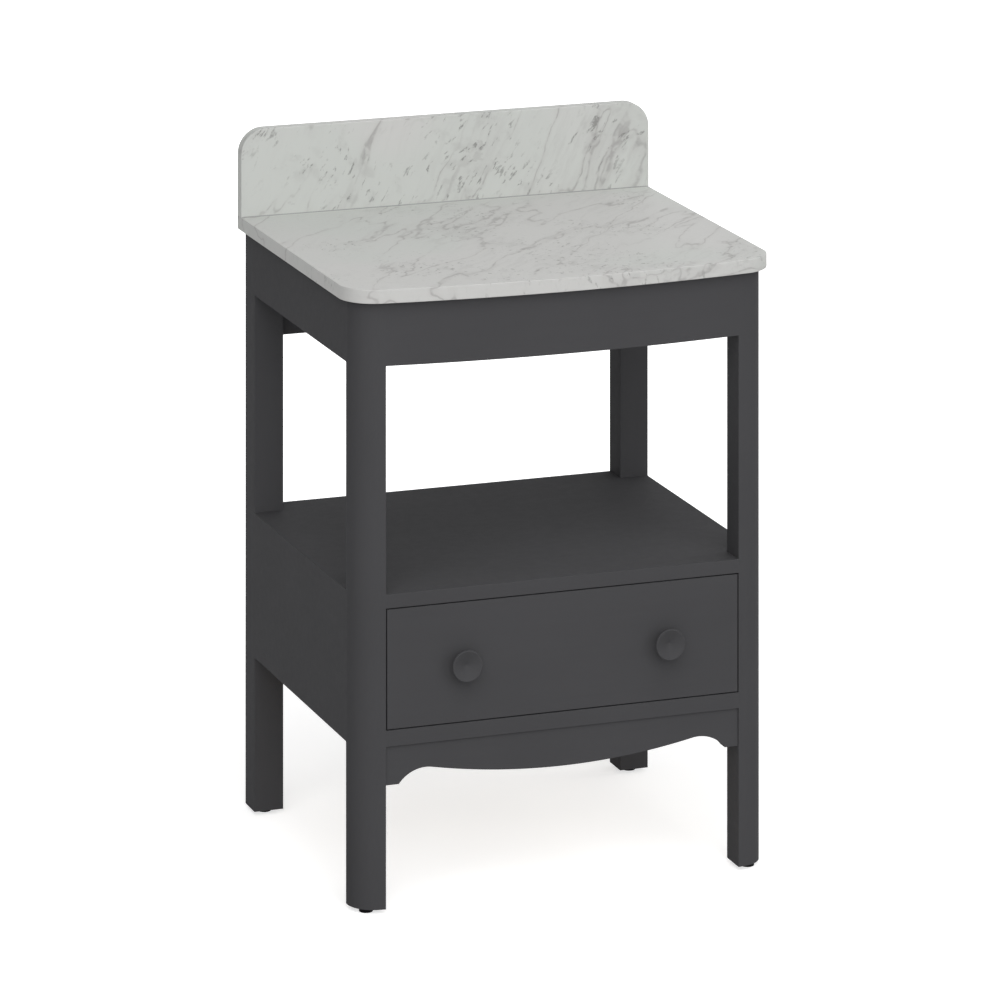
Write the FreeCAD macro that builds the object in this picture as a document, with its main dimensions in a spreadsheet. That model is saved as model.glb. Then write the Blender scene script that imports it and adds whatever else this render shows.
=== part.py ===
import FreeCAD, Part
import math
import operator
import os
import Sketcher

# Vanity unit: painted timber stand with a bow-fronted marble worktop, an open shelf
# and one inset drawer. X runs across, Y from front to back, Z up from the floor.
# The origin is on the floor, under the middle of the worktop.

# Driving sizes in millimetres
SIZES = {
    # marble worktop and upstand
    "worktop_width": 650.0,
    "worktop_depth": 550.0,
    "worktop_thickness": 20.0,
    "worktop_height": 883.0,
    "worktop_overhang": 12.0,
    "worktop_corner_radius": 54.0,
    "stone_edge_ease": 1.2,
    "upstand_height": 130.0,
    "upstand_thickness": 18.0,
    "upstand_corner_radius": 38.0,
    # legs and top frame
    "bow_rise": 18.0,
    "leg_size": 45.0,
    "leg_corner_radius": 40.0,
    "rail_thickness": 22.0,
    "rail_height": 91.0,
    "back_rail_height": 158.0,
    "cleat_width": 20.0,
    "cleat_height": 30.0,
    # joinery
    "tenon_length": 20.0,
    "tenon_thickness": 9.0,
    "tenon_setback": 8.0,
    "tenon_shoulder": 14.0,
    "rail_shoulder": 4.0,
    "tongue_length": 8.0,
    "tongue_thickness": 8.0,
    "back_tongue_thickness": 6.0,
    "joint_clearance": 0.15,
    # wall fixing holes in the back rail
    "wall_hole_radius": 3.5,
    "wall_hole_inset": 68.0,
    "wall_hole_drop": 45.0,
    # shelf and drawer bay
    "shelf_height": 450.0,
    "shelf_thickness": 20.0,
    "drawer_opening_height": 172.0,
    "side_panel_thickness": 18.0,
    "back_panel_thickness": 12.0,
    "bay_floor_thickness": 9.0,
    "bay_floor_rise": 5.0,
    "bay_floor_groove": 5.0,
    "bottom_rail_height": 23.0,
    # scalloped apron
    "apron_depth": 55.0,
    "apron_setback": 3.0,
    "apron_end_flat": 20.0,
    "apron_cove_radius": 51.0,
    "apron_cove_rise": 20.0,
    "glue_block_width": 40.0,
    "glue_block_size": 20.0,
    "glue_block_drop": 30.0,
    "glue_block_inset": 78.0,
    # drawer
    "drawer_gap": 1.5,
    "drawer_front_thickness": 20.0,
    "drawer_edge_ease": 0.8,
    "drawer_rear_space": 68.0,
    "drawer_side_thickness": 12.0,
    "drawer_side_lift": 14.0,
    "drawer_side_drop": 18.0,
    "drawer_bottom_thickness": 6.0,
    "drawer_bottom_rise": 10.0,
    "drawer_groove_depth": 6.0,
    # turned knobs
    "knob_inset": 114.0,
    "knob_radius": 22.5,
    "knob_projection": 24.0,
    "knob_dish_depth": 9.0,
    "knob_rim_round": 1.6,
    "knob_rim_thickness": 3.0,
    "knob_base_radius": 11.0,
    "knob_base_height": 1.5,
    "knob_neck_radius": 8.0,
    "knob_neck_height": 5.0,
    "knob_flare_radius": 24.0,
    "knob_screw_radius": 2.0,
    "knob_screw_head_radius": 4.2,
    "knob_screw_head_height": 2.4,
    "knob_screw_engagement": 12.0,
    # telescopic drawer runners
    "runner_setback": 3.0,
    "runner_rear_space": 17.0,
    "runner_depth": 12.7,
    "runner_side_clearance": 0.3,
    "runner_steel": 1.2,
    "runner_half_height": 22.5,
    "outer_lip_setback": 3.2,
    "middle_lip_setback": 1.7,
    "web_gap": 0.5,
    "ball_radius": 1.45,
    "ball_clearance": 0.2,
    "ball_pitch": 14.0,
    "ball_end": 10.0,
    "ball_hole_clearance": 0.2,
    "cage_steel": 0.6,
    "cage_lip_setback": 0.3,
    "cage_start": 120.0,
    "packer_half_height": 30.0,
    # wood screws
    "screw_radius": 1.75,
    "screw_head_radius": 3.2,
    "screw_clearance": 0.1,
    "screw_point": 3.0,
    "runner_screw_length": 16.0,
    "runner_screw_inset": 12.0,
    "slide_screw_length": 10.0,
    "slide_screw_inset": 20.0,
    "screw_head_height": 2.5,
    "cleat_screw_cover": 7.0,
    "cleat_screw_inset": 65.0,
    "front_screw_cover": 4.0,
    "front_screw_inset": 43.0,
    "front_screw_margin": 25.0,
    # levelling feet and their inserts
    "foot_radius": 10.0,
    "foot_height": 6.5,
    "foot_ease": 0.8,
    "foot_stud_radius": 3.8,
    "foot_stud_length": 34.0,
    "stud_clearance": 0.3,
    "insert_wall": 1.9,
    "insert_length": 20.0,
    "stud_hole_clearance": 0.8,
    "stud_hole_end_space": 8.0,
}

# A row of balls in each lip of a cage
BALLS_PER_LIP = 6

# Two points nearer than this are the same point, in millimetres
SAME_POINT = 0.01

doc = FreeCAD.newDocument("VanityUnit")
sheet = doc.addObject("Spreadsheet::Sheet", "Sizes")


class Size:
    """A length, with its value now and the expression that works it out from the sheet."""

    def __init__(self, text, value):
        self.text = text
        self.value = value

    def joined(self, sign, other):
        other = as_size(other)
        work = {"+": operator.add, "-": operator.sub, "*": operator.mul, "/": operator.truediv}
        return Size(f"({self.text} {sign} {other.text})", work[sign](self.value, other.value))

    def __add__(self, other):
        return self.joined("+", other)

    def __sub__(self, other):
        return self.joined("-", other)

    def __mul__(self, other):
        return self.joined("*", other)

    def __truediv__(self, other):
        return self.joined("/", other)

    def __neg__(self):
        return Size(f"(0 - {self.text})", -self.value)


def as_size(number):
    """A plain number as a Size; a Size stays as it is."""
    return number if isinstance(number, Size) else Size(str(number), number)


def root(size):
    return Size(f"sqrt({size.text})", math.sqrt(size.value))


class SizeTable:
    """Puts the driving sizes in the sheet, and gives each one by its name."""

    def __init__(self, sizes):
        for row, (name, value) in enumerate(sizes.items(), start=1):
            sheet.set(f"A{row}", name)
            sheet.set(f"B{row}", str(value))
            sheet.setAlias(f"B{row}", name)
            setattr(self, name, Size(f"Sizes.{name}", value))


s = SizeTable(SIZES)
ZERO = as_size(0)
doc.recompute()


# Levels, planes and centres that several pieces share

REAR = s.worktop_depth / 2
FRONT = s.worktop_overhang + s.bow_rise - REAR
OUTER = s.worktop_width / 2 - s.worktop_overhang
INNER = OUTER - s.leg_size
LEG_BACK = FRONT + s.leg_size
REAR_LEG_FRONT = REAR - s.leg_size

CARCASS_TOP = s.worktop_height - s.worktop_thickness
RAIL_BOTTOM = CARCASS_TOP - s.rail_height
SHELF_BOTTOM = s.shelf_height - s.shelf_thickness
OPENING_BOTTOM = SHELF_BOTTOM - s.drawer_opening_height
BAY_BOTTOM = OPENING_BOTTOM - s.bottom_rail_height
PANEL_INNER = OUTER - s.side_panel_thickness

# The bow: one circle through both front legs' inner edges and the middle of the front rail
BOW_RADIUS = (INNER * INNER + s.bow_rise * s.bow_rise) / (s.bow_rise * 2)
BOW_CENTRE = FRONT - s.bow_rise + BOW_RADIUS


def bow_y(radius, x):
    """Y of the bow's circle of this radius at x."""
    return BOW_CENTRE - root(radius * radius - x * x)


# Helpers that make features of a body

def new_body(label):
    body = doc.addObject("PartDesign::Body", label)
    body.Label = label
    return body


def bind(thing, path, size):
    thing.setExpression(path, size.text)


def place(thing, point, rotation=None):
    if rotation is not None:
        thing.Placement = FreeCAD.Placement(FreeCAD.Vector(0, 0, 0), rotation)
    for axis, size in zip("xyz", point):
        bind(thing, f".Placement.Base.{axis}", size)


def facing(direction):
    """The rotation that turns Z to this direction."""
    return FreeCAD.Rotation(FreeCAD.Vector(0, 0, 1), FreeCAD.Vector(*direction))


def sided(side, inner, outer):
    """The low and high X of a stretch on the right (side 1) or the left (side -1)."""
    return (inner, outer) if side > 0 else (-outer, -inner)


def box(body, name, low, high, cut=False):
    kind = "PartDesign::SubtractiveBox" if cut else "PartDesign::AdditiveBox"
    feature = body.newObject(kind, name)
    for key, start, end in zip(("Length", "Width", "Height"), low, high):
        bind(feature, key, end - start)
    place(feature, low)
    return feature


def grown(low, high, margin):
    """The same box, larger by margin on every side."""
    return tuple(v - margin for v in low), tuple(v + margin for v in high)


def drill(body, name, start, direction, radius, depth):
    feature = body.newObject("PartDesign::SubtractiveCylinder", name)
    bind(feature, "Radius", radius)
    bind(feature, "Height", depth)
    place(feature, start, facing(direction))
    return feature


def draw(sketch, corners):
    """Draws a closed outline. A corner is (x, y), or (x, y, radius, centre_x, centre_y)
    where an arc runs from it to the next corner. Every corner and radius follows the sheet."""
    ends = []
    for here, after in zip(corners, corners[1:] + corners[:1]):
        start = FreeCAD.Vector(here[0].value, here[1].value, 0)
        end = FreeCAD.Vector(after[0].value, after[1].value, 0)
        if len(here) == 2:
            index = sketch.addGeometry(Part.LineSegment(start, end), False)
            ends.append((index, 1, 2))
            continue
        centre = FreeCAD.Vector(here[3].value, here[4].value, 0)
        first = math.atan2(start.y - centre.y, start.x - centre.x)
        last = math.atan2(end.y - centre.y, end.x - centre.x)
        turn = (last - first) % (2 * math.pi)
        forward = turn < math.pi
        span = (first, first + turn) if forward else (last, last + 2 * math.pi - turn)
        circle = Part.Circle(centre, FreeCAD.Vector(0, 0, 1), here[2].value)
        index = sketch.addGeometry(Part.ArcOfCircle(circle, *span), False)
        ends.append((index, 1, 2) if forward else (index, 2, 1))
        radius = sketch.addConstraint(Sketcher.Constraint("Radius", index, here[2].value))
        bind(sketch, f"Constraints[{radius}]", here[2])
    for (index, start, end), (following, begin, _) in zip(ends, ends[1:] + ends[:1]):
        sketch.addConstraint(Sketcher.Constraint("Coincident", index, end, following, begin))
    for (index, start, _), corner in zip(ends, corners):
        for kind, axis, size in (("DistanceX", -2, corner[0]), ("DistanceY", -1, corner[1])):
            if size is ZERO:
                sketch.addConstraint(Sketcher.Constraint("PointOnObject", index, start, axis))
                continue
            number = sketch.addConstraint(Sketcher.Constraint(kind, index, start, size.value))
            bind(sketch, f"Constraints[{number}]", size)


def new_sketch(body, name, plane, offset, corners):
    """A sketch on one of the body's own planes, moved along the plane's normal by offset."""
    sketch = body.newObject("Sketcher::SketchObject", name)
    support = next(item for item in body.Origin.OriginFeatures if item.Role == plane)
    sketch.AttachmentSupport = [(support, "")]
    sketch.MapMode = "FlatFace"
    bind(sketch, ".AttachmentOffset.Base.z", offset)
    draw(sketch, corners)
    return sketch


def pad(body, name, sketch, length):
    feature = body.newObject("PartDesign::Pad", name)
    feature.Profile = sketch
    bind(feature, "Length", length)
    return feature


def pad_up(body, name, corners, bottom, height):
    """A pad of an XY outline, from bottom upwards."""
    return pad(body, name, new_sketch(body, f"{name}Outline", "XY_Plane", bottom, corners), height)


def pad_forward(body, name, corners, rear, length):
    """A pad of an XZ outline, from the plane y = rear towards the front."""
    return pad(body, name, new_sketch(body, f"{name}Outline", "XZ_Plane", -rear, corners), length)


def edges_of(feature, test):
    doc.recompute()
    return [f"Edge{number}" for number, edge in enumerate(feature.Shape.Edges, start=1) if test(edge)]


def round_edges(body, name, feature, test, radius):
    names = edges_of(feature, test)
    rounding = body.newObject("PartDesign::Fillet", name)
    rounding.Base = (feature, names)
    bind(rounding, "Radius", radius)
    return rounding


def upright_at(x, y):
    """Picks the upright edge at this x and y."""
    def test(edge):
        return all(abs(v.X - x.value) < SAME_POINT and abs(v.Y - y.value) < SAME_POINT for v in edge.Vertexes)
    return test


def on_level(z, but_not_y):
    """Picks the edges that lie in the level z, apart from the straight one at y = but_not_y."""
    def test(edge):
        level = all(abs(v.Z - z.value) < SAME_POINT for v in edge.Vertexes)
        return level and not all(abs(v.Y - but_not_y.value) < SAME_POINT for v in edge.Vertexes)
    return test


# Screws

class Screw:
    """A countersunk screw. Its head's face is at start, and it points along direction."""

    def __init__(self, start, direction, length, head_height):
        self.start = start
        self.direction = direction
        self.length = length
        self.head_height = head_height

    def along(self, distance):
        return tuple(v + distance * d for v, d in zip(self.start, self.direction))

    def solid(self, name):
        head = doc.addObject("Part::Cone", f"{name}Head")
        bind(head, "Radius1", s.screw_head_radius)
        bind(head, "Radius2", s.screw_radius)
        bind(head, "Height", self.head_height)
        place(head, self.start, facing(self.direction))
        shank = doc.addObject("Part::Cylinder", f"{name}Shank")
        bind(shank, "Radius", s.screw_radius)
        bind(shank, "Height", self.length - s.screw_point - self.head_height)
        place(shank, self.along(self.head_height), facing(self.direction))
        point = doc.addObject("Part::Cone", f"{name}Point")
        bind(point, "Radius1", s.screw_radius)
        point.Radius2 = 0
        bind(point, "Height", s.screw_point)
        place(point, self.along(self.length - s.screw_point), facing(self.direction))
        whole = doc.addObject("Part::MultiFuse", name)
        whole.Shapes = [head, shank, point]
        return whole

    def countersink(self, body, name):
        """Cuts the seat of the head and the way of the shank."""
        seat = body.newObject("PartDesign::SubtractiveCone", f"{name}Seat")
        bind(seat, "Radius1", s.screw_head_radius + s.screw_clearance)
        bind(seat, "Radius2", s.screw_radius + s.screw_clearance)
        bind(seat, "Height", self.head_height)
        place(seat, self.start, facing(self.direction))
        self.pilot(body, name)

    def pilot(self, body, name):
        """Cuts the way of the shank."""
        drill(body, f"{name}Way", self.start, self.direction, s.screw_radius + s.screw_clearance,
              self.length + s.screw_clearance)


def screw_node(label, screws):
    group = doc.addObject("Part::Compound", label)
    group.Label = label
    group.Links = [screw.solid(f"{label}{number}") for number, screw in enumerate(screws, start=1)]
    return group


SIDES = {"left": -1, "right": 1}
FORWARD = (0, -1, 0)
BACKWARD = (0, 1, 0)
UPWARD = (0, 0, 1)

# Limits of the drawer box, and of the runners beside it
BOX_BOTTOM = OPENING_BOTTOM + s.drawer_side_lift
BOX_TOP = SHELF_BOTTOM - s.drawer_side_drop
RUNNER_Z = (BOX_BOTTOM + BOX_TOP) / 2
BOX_FRONT = FRONT + s.drawer_front_thickness
BOX_REAR = REAR - s.back_panel_thickness - s.drawer_rear_space
BOX_OUTER = INNER - s.runner_depth - s.runner_side_clearance
BOX_INNER = BOX_OUTER - s.drawer_side_thickness
RUNNER_FRONT = BOX_FRONT + s.runner_setback
RUNNER_REAR = BOX_REAR - s.runner_rear_space


def outward(side):
    return (side, 0, 0)


def inward(side):
    return (-side, 0, 0)


def three_between(low, high, inset):
    """Three even places between two limits, the outer two this far inside them."""
    return [low + inset, (low + high) / 2, high - inset]


def rail_screws(side):
    """Screws that hold the cabinet's runner member to the leg and the packer."""
    x = (INNER - s.runner_steel) * side
    return [Screw((x, y, RUNNER_Z), outward(side), s.runner_screw_length, s.runner_steel)
            for y in three_between(RUNNER_FRONT, RUNNER_REAR, s.runner_screw_inset)]


def slide_screws(side):
    """Screws that hold the drawer's runner member to the drawer's side."""
    x = (INNER - s.runner_depth + s.runner_steel) * side
    return [Screw((x, y, RUNNER_Z), inward(side), s.slide_screw_length, s.runner_steel)
            for y in three_between(RUNNER_FRONT, RUNNER_REAR, s.slide_screw_inset)]


def cleat_screws(side):
    """Screws through a worktop cleat into the side rail."""
    x = (OUTER - s.rail_thickness - s.cleat_width) * side
    z = CARCASS_TOP - s.cleat_height / 2
    length = s.cleat_width + s.rail_thickness - s.cleat_screw_cover
    return [Screw((x, y, z), outward(side), length, s.screw_head_height)
            for y in three_between(LEG_BACK, REAR_LEG_FRONT, s.cleat_screw_inset)]


def front_screws():
    """Screws through the drawer box into the drawer front."""
    x = BOX_INNER - s.front_screw_inset
    y = BOX_FRONT + s.drawer_side_thickness
    length = s.drawer_side_thickness + s.drawer_front_thickness - s.front_screw_cover
    return [Screw((x * side, y, z), FORWARD, length, s.screw_head_height) for side in (-1, 1)
            for z in (BOX_BOTTOM + s.front_screw_margin, BOX_TOP - s.front_screw_margin)]


# Tenons and tongues, each as the low and high corner of its box

def cross_tenon(side, y, thickness, bottom, top, length):
    """A tenon that runs along X into a leg."""
    x = sided(side, INNER, INNER + length)
    return (x[0], y, bottom), (x[1], y + thickness, top)


def depth_tenon(side, at_front, x, thickness, bottom, top, length):
    """A tenon that runs along Y into a front or a rear leg."""
    across = sided(side, x - thickness, x)
    y = (LEG_BACK - length, LEG_BACK) if at_front else (REAR_LEG_FRONT, REAR_LEG_FRONT + length)
    return (across[0], y[0], bottom), (across[1], y[1], top)


def front_rail_tenon(side):
    return cross_tenon(side, FRONT + s.tenon_setback, s.tenon_thickness,
                       RAIL_BOTTOM + s.tenon_shoulder, CARCASS_TOP - s.tenon_shoulder, s.tenon_length)


def bottom_rail_tenon(side):
    return cross_tenon(side, FRONT + s.tenon_setback, s.tenon_thickness,
                       BAY_BOTTOM + s.rail_shoulder, OPENING_BOTTOM - s.rail_shoulder, s.tenon_length)


def back_rail_tenon(side):
    return cross_tenon(side, REAR - s.tenon_setback - s.tenon_thickness, s.tenon_thickness,
                       CARCASS_TOP - s.back_rail_height + s.tenon_shoulder, CARCASS_TOP - s.tenon_shoulder,
                       s.tenon_length)


def back_panel_tongue(side):
    return cross_tenon(side, REAR - (s.back_panel_thickness + s.back_tongue_thickness) / 2,
                       s.back_tongue_thickness, BAY_BOTTOM + s.tongue_length,
                       SHELF_BOTTOM - s.tongue_length, s.tongue_length)


def side_rail_tenon(side, at_front):
    return depth_tenon(side, at_front, OUTER - s.tenon_setback, s.tenon_thickness,
                       RAIL_BOTTOM + s.tenon_shoulder, CARCASS_TOP - s.tenon_shoulder, s.tenon_length)


def side_panel_tongue(side, at_front):
    return depth_tenon(side, at_front, OUTER - (s.side_panel_thickness - s.tongue_thickness) / 2,
                       s.tongue_thickness, BAY_BOTTOM + s.tongue_length,
                       SHELF_BOTTOM - s.tongue_length, s.tongue_length)


INSERT_BORE = s.foot_stud_radius + s.stud_clearance
INSERT_RADIUS = INSERT_BORE + s.insert_wall


# Legs: the front pair has a bowed face and a wide rounded outer corner

def leg(end, side_name):
    side = SIDES[side_name]
    at_front = end == "front"
    body = new_body(f"{end}_{side_name}_leg")
    inner, outer = INNER * side, OUTER * side
    height = CARCASS_TOP - s.foot_height
    if at_front:
        corner_y = bow_y(BOW_RADIUS, OUTER)
        corners = [(inner, FRONT, BOW_RADIUS, ZERO, BOW_CENTRE), (outer, corner_y),
                   (outer, LEG_BACK), (inner, LEG_BACK)]
        post = pad_up(body, "Post", corners, s.foot_height, height)
        round_edges(body, "OuterCorner", post, upright_at(outer, corner_y), s.leg_corner_radius)
    else:
        corners = [(inner, REAR_LEG_FRONT), (outer, REAR_LEG_FRONT), (outer, REAR), (inner, REAR)]
        pad_up(body, "Post", corners, s.foot_height, height)
    if at_front:
        joints = {"FrontRail": front_rail_tenon(side), "BottomRail": bottom_rail_tenon(side)}
    else:
        joints = {"BackRail": back_rail_tenon(side), "BackPanel": back_panel_tongue(side)}
    joints["SideRail"] = side_rail_tenon(side, at_front)
    joints["SidePanel"] = side_panel_tongue(side, at_front)
    for name, tenon in joints.items():
        box(body, f"{name}Mortise", *grown(*tenon, s.joint_clearance), cut=True)
    centre = foot_centre(end, side)
    drill(body, "InsertHole", centre + (s.foot_height,), UPWARD, INSERT_RADIUS + s.screw_clearance,
          s.insert_length)
    drill(body, "StudHole", centre + (s.foot_height,), UPWARD, s.foot_stud_radius + s.stud_hole_clearance,
          s.foot_stud_length + s.stud_hole_end_space)
    if at_front:
        rail_screws(side)[0].pilot(body, "RunnerScrew")


def foot_centre(end, side):
    """Where a foot stands, in the middle of its leg."""
    y = FRONT + s.leg_size / 2 if end == "front" else REAR - s.leg_size / 2
    return ((OUTER - s.leg_size / 2) * side, y)


for end in ("front", "rear"):
    for side_name in SIDES:
        leg(end, side_name)


# Top frame

def top_front_rail():
    body = new_body("top_front_rail")
    inside = BOW_RADIUS - s.rail_thickness
    inside_y = bow_y(inside, INNER)
    corners = [(-INNER, FRONT, BOW_RADIUS, ZERO, BOW_CENTRE), (INNER, FRONT),
               (INNER, inside_y, inside, ZERO, BOW_CENTRE), (-INNER, inside_y)]
    pad_up(body, "Rail", corners, RAIL_BOTTOM, s.rail_height)
    for name, side in SIDES.items():
        box(body, f"{name}Tenon", *front_rail_tenon(side))


def top_back_rail():
    body = new_body("top_back_rail")
    bottom = CARCASS_TOP - s.back_rail_height
    box(body, "Rail", (-INNER, REAR - s.rail_thickness, bottom), (INNER, REAR, CARCASS_TOP))
    for name, side in SIDES.items():
        box(body, f"{name}Tenon", *back_rail_tenon(side))
        start = ((INNER - s.wall_hole_inset) * side, REAR - s.rail_thickness, CARCASS_TOP - s.wall_hole_drop)
        drill(body, f"{name}WallHole", start, BACKWARD, s.wall_hole_radius, s.rail_thickness)


def top_side_rail(side_name):
    side = SIDES[side_name]
    body = new_body(f"top_{side_name}_rail")
    x = sided(side, OUTER - s.rail_thickness, OUTER)
    box(body, "Rail", (x[0], LEG_BACK, RAIL_BOTTOM), (x[1], REAR_LEG_FRONT, CARCASS_TOP))
    for at_front in (True, False):
        box(body, "FrontTenon" if at_front else "RearTenon", *side_rail_tenon(side, at_front))
    for number, screw in enumerate(cleat_screws(side), start=1):
        screw.pilot(body, f"CleatScrew{number}")


def worktop_cleat(side_name):
    side = SIDES[side_name]
    body = new_body(f"{side_name}_worktop_cleat")
    face = OUTER - s.rail_thickness
    x = sided(side, face - s.cleat_width, face)
    box(body, "Cleat", (x[0], LEG_BACK, CARCASS_TOP - s.cleat_height), (x[1], REAR_LEG_FRONT, CARCASS_TOP))
    for number, screw in enumerate(cleat_screws(side), start=1):
        screw.countersink(body, f"Screw{number}")


top_front_rail()
top_back_rail()
for side_name in SIDES:
    top_side_rail(side_name)
    worktop_cleat(side_name)
screw_node("cleat_screws", cleat_screws(-1) + cleat_screws(1))


# Marble: the slab's bow runs parallel to the front rail's

def marble_worktop():
    body = new_body("marble_worktop")
    half = s.worktop_width / 2
    radius = BOW_RADIUS + s.worktop_overhang
    corner_y = bow_y(radius, half)
    corners = [(-half, corner_y, radius, ZERO, BOW_CENTRE), (half, corner_y), (half, REAR), (-half, REAR)]
    slab = pad_up(body, "Slab", corners, CARCASS_TOP, s.worktop_thickness)

    def front_corners(edge):
        return upright_at(-half, corner_y)(edge) or upright_at(half, corner_y)(edge)

    rounded = round_edges(body, "Corners", slab, front_corners, s.worktop_corner_radius)

    def arrises(edge):
        return on_level(s.worktop_height, REAR)(edge) or on_level(CARCASS_TOP, REAR)(edge)

    round_edges(body, "Arrises", rounded, arrises, s.stone_edge_ease)


def marble_upstand():
    body = new_body("marble_upstand")
    half = s.worktop_width / 2
    r = s.upstand_corner_radius
    bottom, top = s.worktop_height, s.worktop_height + s.upstand_height
    corners = [(-half, bottom), (half, bottom), (half, top - r, r, half - r, top - r), (half - r, top),
               (r - half, top, r, r - half, top - r), (-half, top - r)]
    board = pad_forward(body, "Board", corners, REAR, s.upstand_thickness)
    front = REAR - s.upstand_thickness

    def face_arris(edge):
        on_face = all(abs(v.Y - front.value) < SAME_POINT for v in edge.Vertexes)
        return on_face and any(v.Z > bottom.value + SAME_POINT for v in edge.Vertexes)

    round_edges(body, "Arris", board, face_arris, s.stone_edge_ease)


marble_worktop()
marble_upstand()


# Shelf and drawer bay

def notched_board(label, half_width, front, rear, bottom, thickness):
    """A board between the sides, cut out round the four legs."""
    body = new_body(label)
    gap = s.joint_clearance
    x, y_front, y_rear = INNER - gap, LEG_BACK + gap, REAR_LEG_FRONT - gap
    right = [(x, front), (x, y_front), (half_width, y_front), (half_width, y_rear), (x, y_rear), (x, rear)]
    left = [(-corner[0], corner[1]) for corner in reversed(right)]
    return body, pad_up(body, "Board", right + left, bottom, thickness)


def side_panel(side_name):
    side = SIDES[side_name]
    body = new_body(f"{side_name}_side_panel")
    x = sided(side, PANEL_INNER, OUTER)
    box(body, "Panel", (x[0], LEG_BACK, BAY_BOTTOM), (x[1], REAR_LEG_FRONT, SHELF_BOTTOM))
    for at_front in (True, False):
        box(body, "FrontTongue" if at_front else "RearTongue", *side_panel_tongue(side, at_front))
    floor_bottom = BAY_BOTTOM + s.bay_floor_rise
    groove = sided(side, PANEL_INNER, PANEL_INNER + s.bay_floor_groove)
    low = (groove[0], LEG_BACK - s.tongue_length, floor_bottom - s.joint_clearance)
    high = (groove[1], REAR_LEG_FRONT + s.tongue_length,
            floor_bottom + s.bay_floor_thickness + s.joint_clearance)
    box(body, "FloorGroove", low, high, cut=True)


def back_panel():
    body = new_body("back_panel")
    box(body, "Panel", (-INNER, REAR - s.back_panel_thickness, BAY_BOTTOM), (INNER, REAR, SHELF_BOTTOM))
    for name, side in SIDES.items():
        box(body, f"{name}Tongue", *back_panel_tongue(side))


def bottom_front_rail():
    body = new_body("bottom_front_rail")
    box(body, "Rail", (-INNER, FRONT, BAY_BOTTOM), (INNER, FRONT + s.rail_thickness, OPENING_BOTTOM))
    for name, side in SIDES.items():
        box(body, f"{name}Tenon", *bottom_rail_tenon(side))


def scalloped_apron():
    """Its lower edge has a short flat at each end, a cove beside it, and one long belly
    between the coves, which touches both of their circles."""
    body = new_body("scalloped_apron")
    low = BAY_BOTTOM - s.apron_depth
    cove, rise = s.apron_cove_radius, s.apron_cove_rise
    start = INNER - s.apron_end_flat
    centre_x = start - root(rise * (cove * 2 - rise))
    centre_z = low + rise - cove
    belly = (centre_x * centre_x + rise * rise) / (rise * 2) - cove
    share = cove / (belly + cove)
    meet_x = centre_x - centre_x * share
    meet_z = centre_z + (belly + cove - rise) * share
    corners = [(-INNER, low), (-start, low, cove, -centre_x, centre_z),
               (-meet_x, meet_z, belly, ZERO, low + belly), (meet_x, meet_z, cove, centre_x, centre_z),
               (start, low), (INNER, low), (INNER, BAY_BOTTOM), (-INNER, BAY_BOTTOM)]
    pad_forward(body, "Board", corners, FRONT + s.rail_thickness, s.rail_thickness - s.apron_setback)


def apron_glue_blocks():
    """Softwood blocks in the corner between the apron and the bay's floor."""
    group = doc.addObject("Part::Compound", "apron_glue_blocks")
    group.Label = "apron_glue_blocks"
    blocks = []
    for number in (-1, 0, 1):
        block = doc.addObject("Part::Box", f"GlueBlock{number + 2}")
        bind(block, "Length", s.glue_block_width)
        bind(block, "Width", s.glue_block_size)
        bind(block, "Height", s.glue_block_drop + s.bay_floor_rise)
        x = (INNER - s.glue_block_inset) * number - s.glue_block_width / 2
        place(block, (x, FRONT + s.rail_thickness, BAY_BOTTOM - s.glue_block_drop))
        blocks.append(block)
    group.Links = blocks


def runner_packer(side_name):
    """A batten on the side panel, level with the legs' inner faces, that carries the runner."""
    side = SIDES[side_name]
    body = new_body(f"{side_name}_runner_packer")
    x = sided(side, INNER, PANEL_INNER)
    low = (x[0], LEG_BACK, RUNNER_Z - s.packer_half_height)
    box(body, "Packer", low, (x[1], REAR_LEG_FRONT, RUNNER_Z + s.packer_half_height))
    for number, screw in enumerate(rail_screws(side)[1:], start=1):
        screw.pilot(body, f"RunnerScrew{number}")


notched_board("shelf_board", OUTER, FRONT, REAR, SHELF_BOTTOM, s.shelf_thickness)
notched_board("bay_floor", PANEL_INNER + s.bay_floor_groove - s.joint_clearance, FRONT + s.rail_thickness,
              REAR - s.back_panel_thickness, BAY_BOTTOM + s.bay_floor_rise, s.bay_floor_thickness)
back_panel()
bottom_front_rail()
scalloped_apron()
apron_glue_blocks()
for side_name in SIDES:
    side_panel(side_name)
    runner_packer(side_name)


# Drawer

def drawer_front():
    body = new_body("drawer_front")
    half = INNER - s.drawer_gap
    low = (-half, FRONT, OPENING_BOTTOM + s.drawer_gap)
    panel = box(body, "Panel", low, (half, BOX_FRONT, SHELF_BOTTOM - s.drawer_gap))

    def face_edges(edge):
        return all(abs(v.Y - FRONT.value) < SAME_POINT for v in edge.Vertexes)

    round_edges(body, "FaceArris", panel, face_edges, s.drawer_edge_ease)
    for number, screw in enumerate(front_screws(), start=1):
        screw.pilot(body, f"Screw{number}")
    for name, side in SIDES.items():
        start = knob_place(side)
        drill(body, f"{name}KnobHole", start, BACKWARD, s.knob_screw_radius + s.screw_clearance,
              s.drawer_front_thickness)


def knob_place(side):
    return ((INNER - s.knob_inset) * side, FRONT, (OPENING_BOTTOM + SHELF_BOTTOM) / 2)


BOTTOM_LOW = BOX_BOTTOM + s.drawer_bottom_rise
BOTTOM_HIGH = BOTTOM_LOW + s.drawer_bottom_thickness


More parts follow.
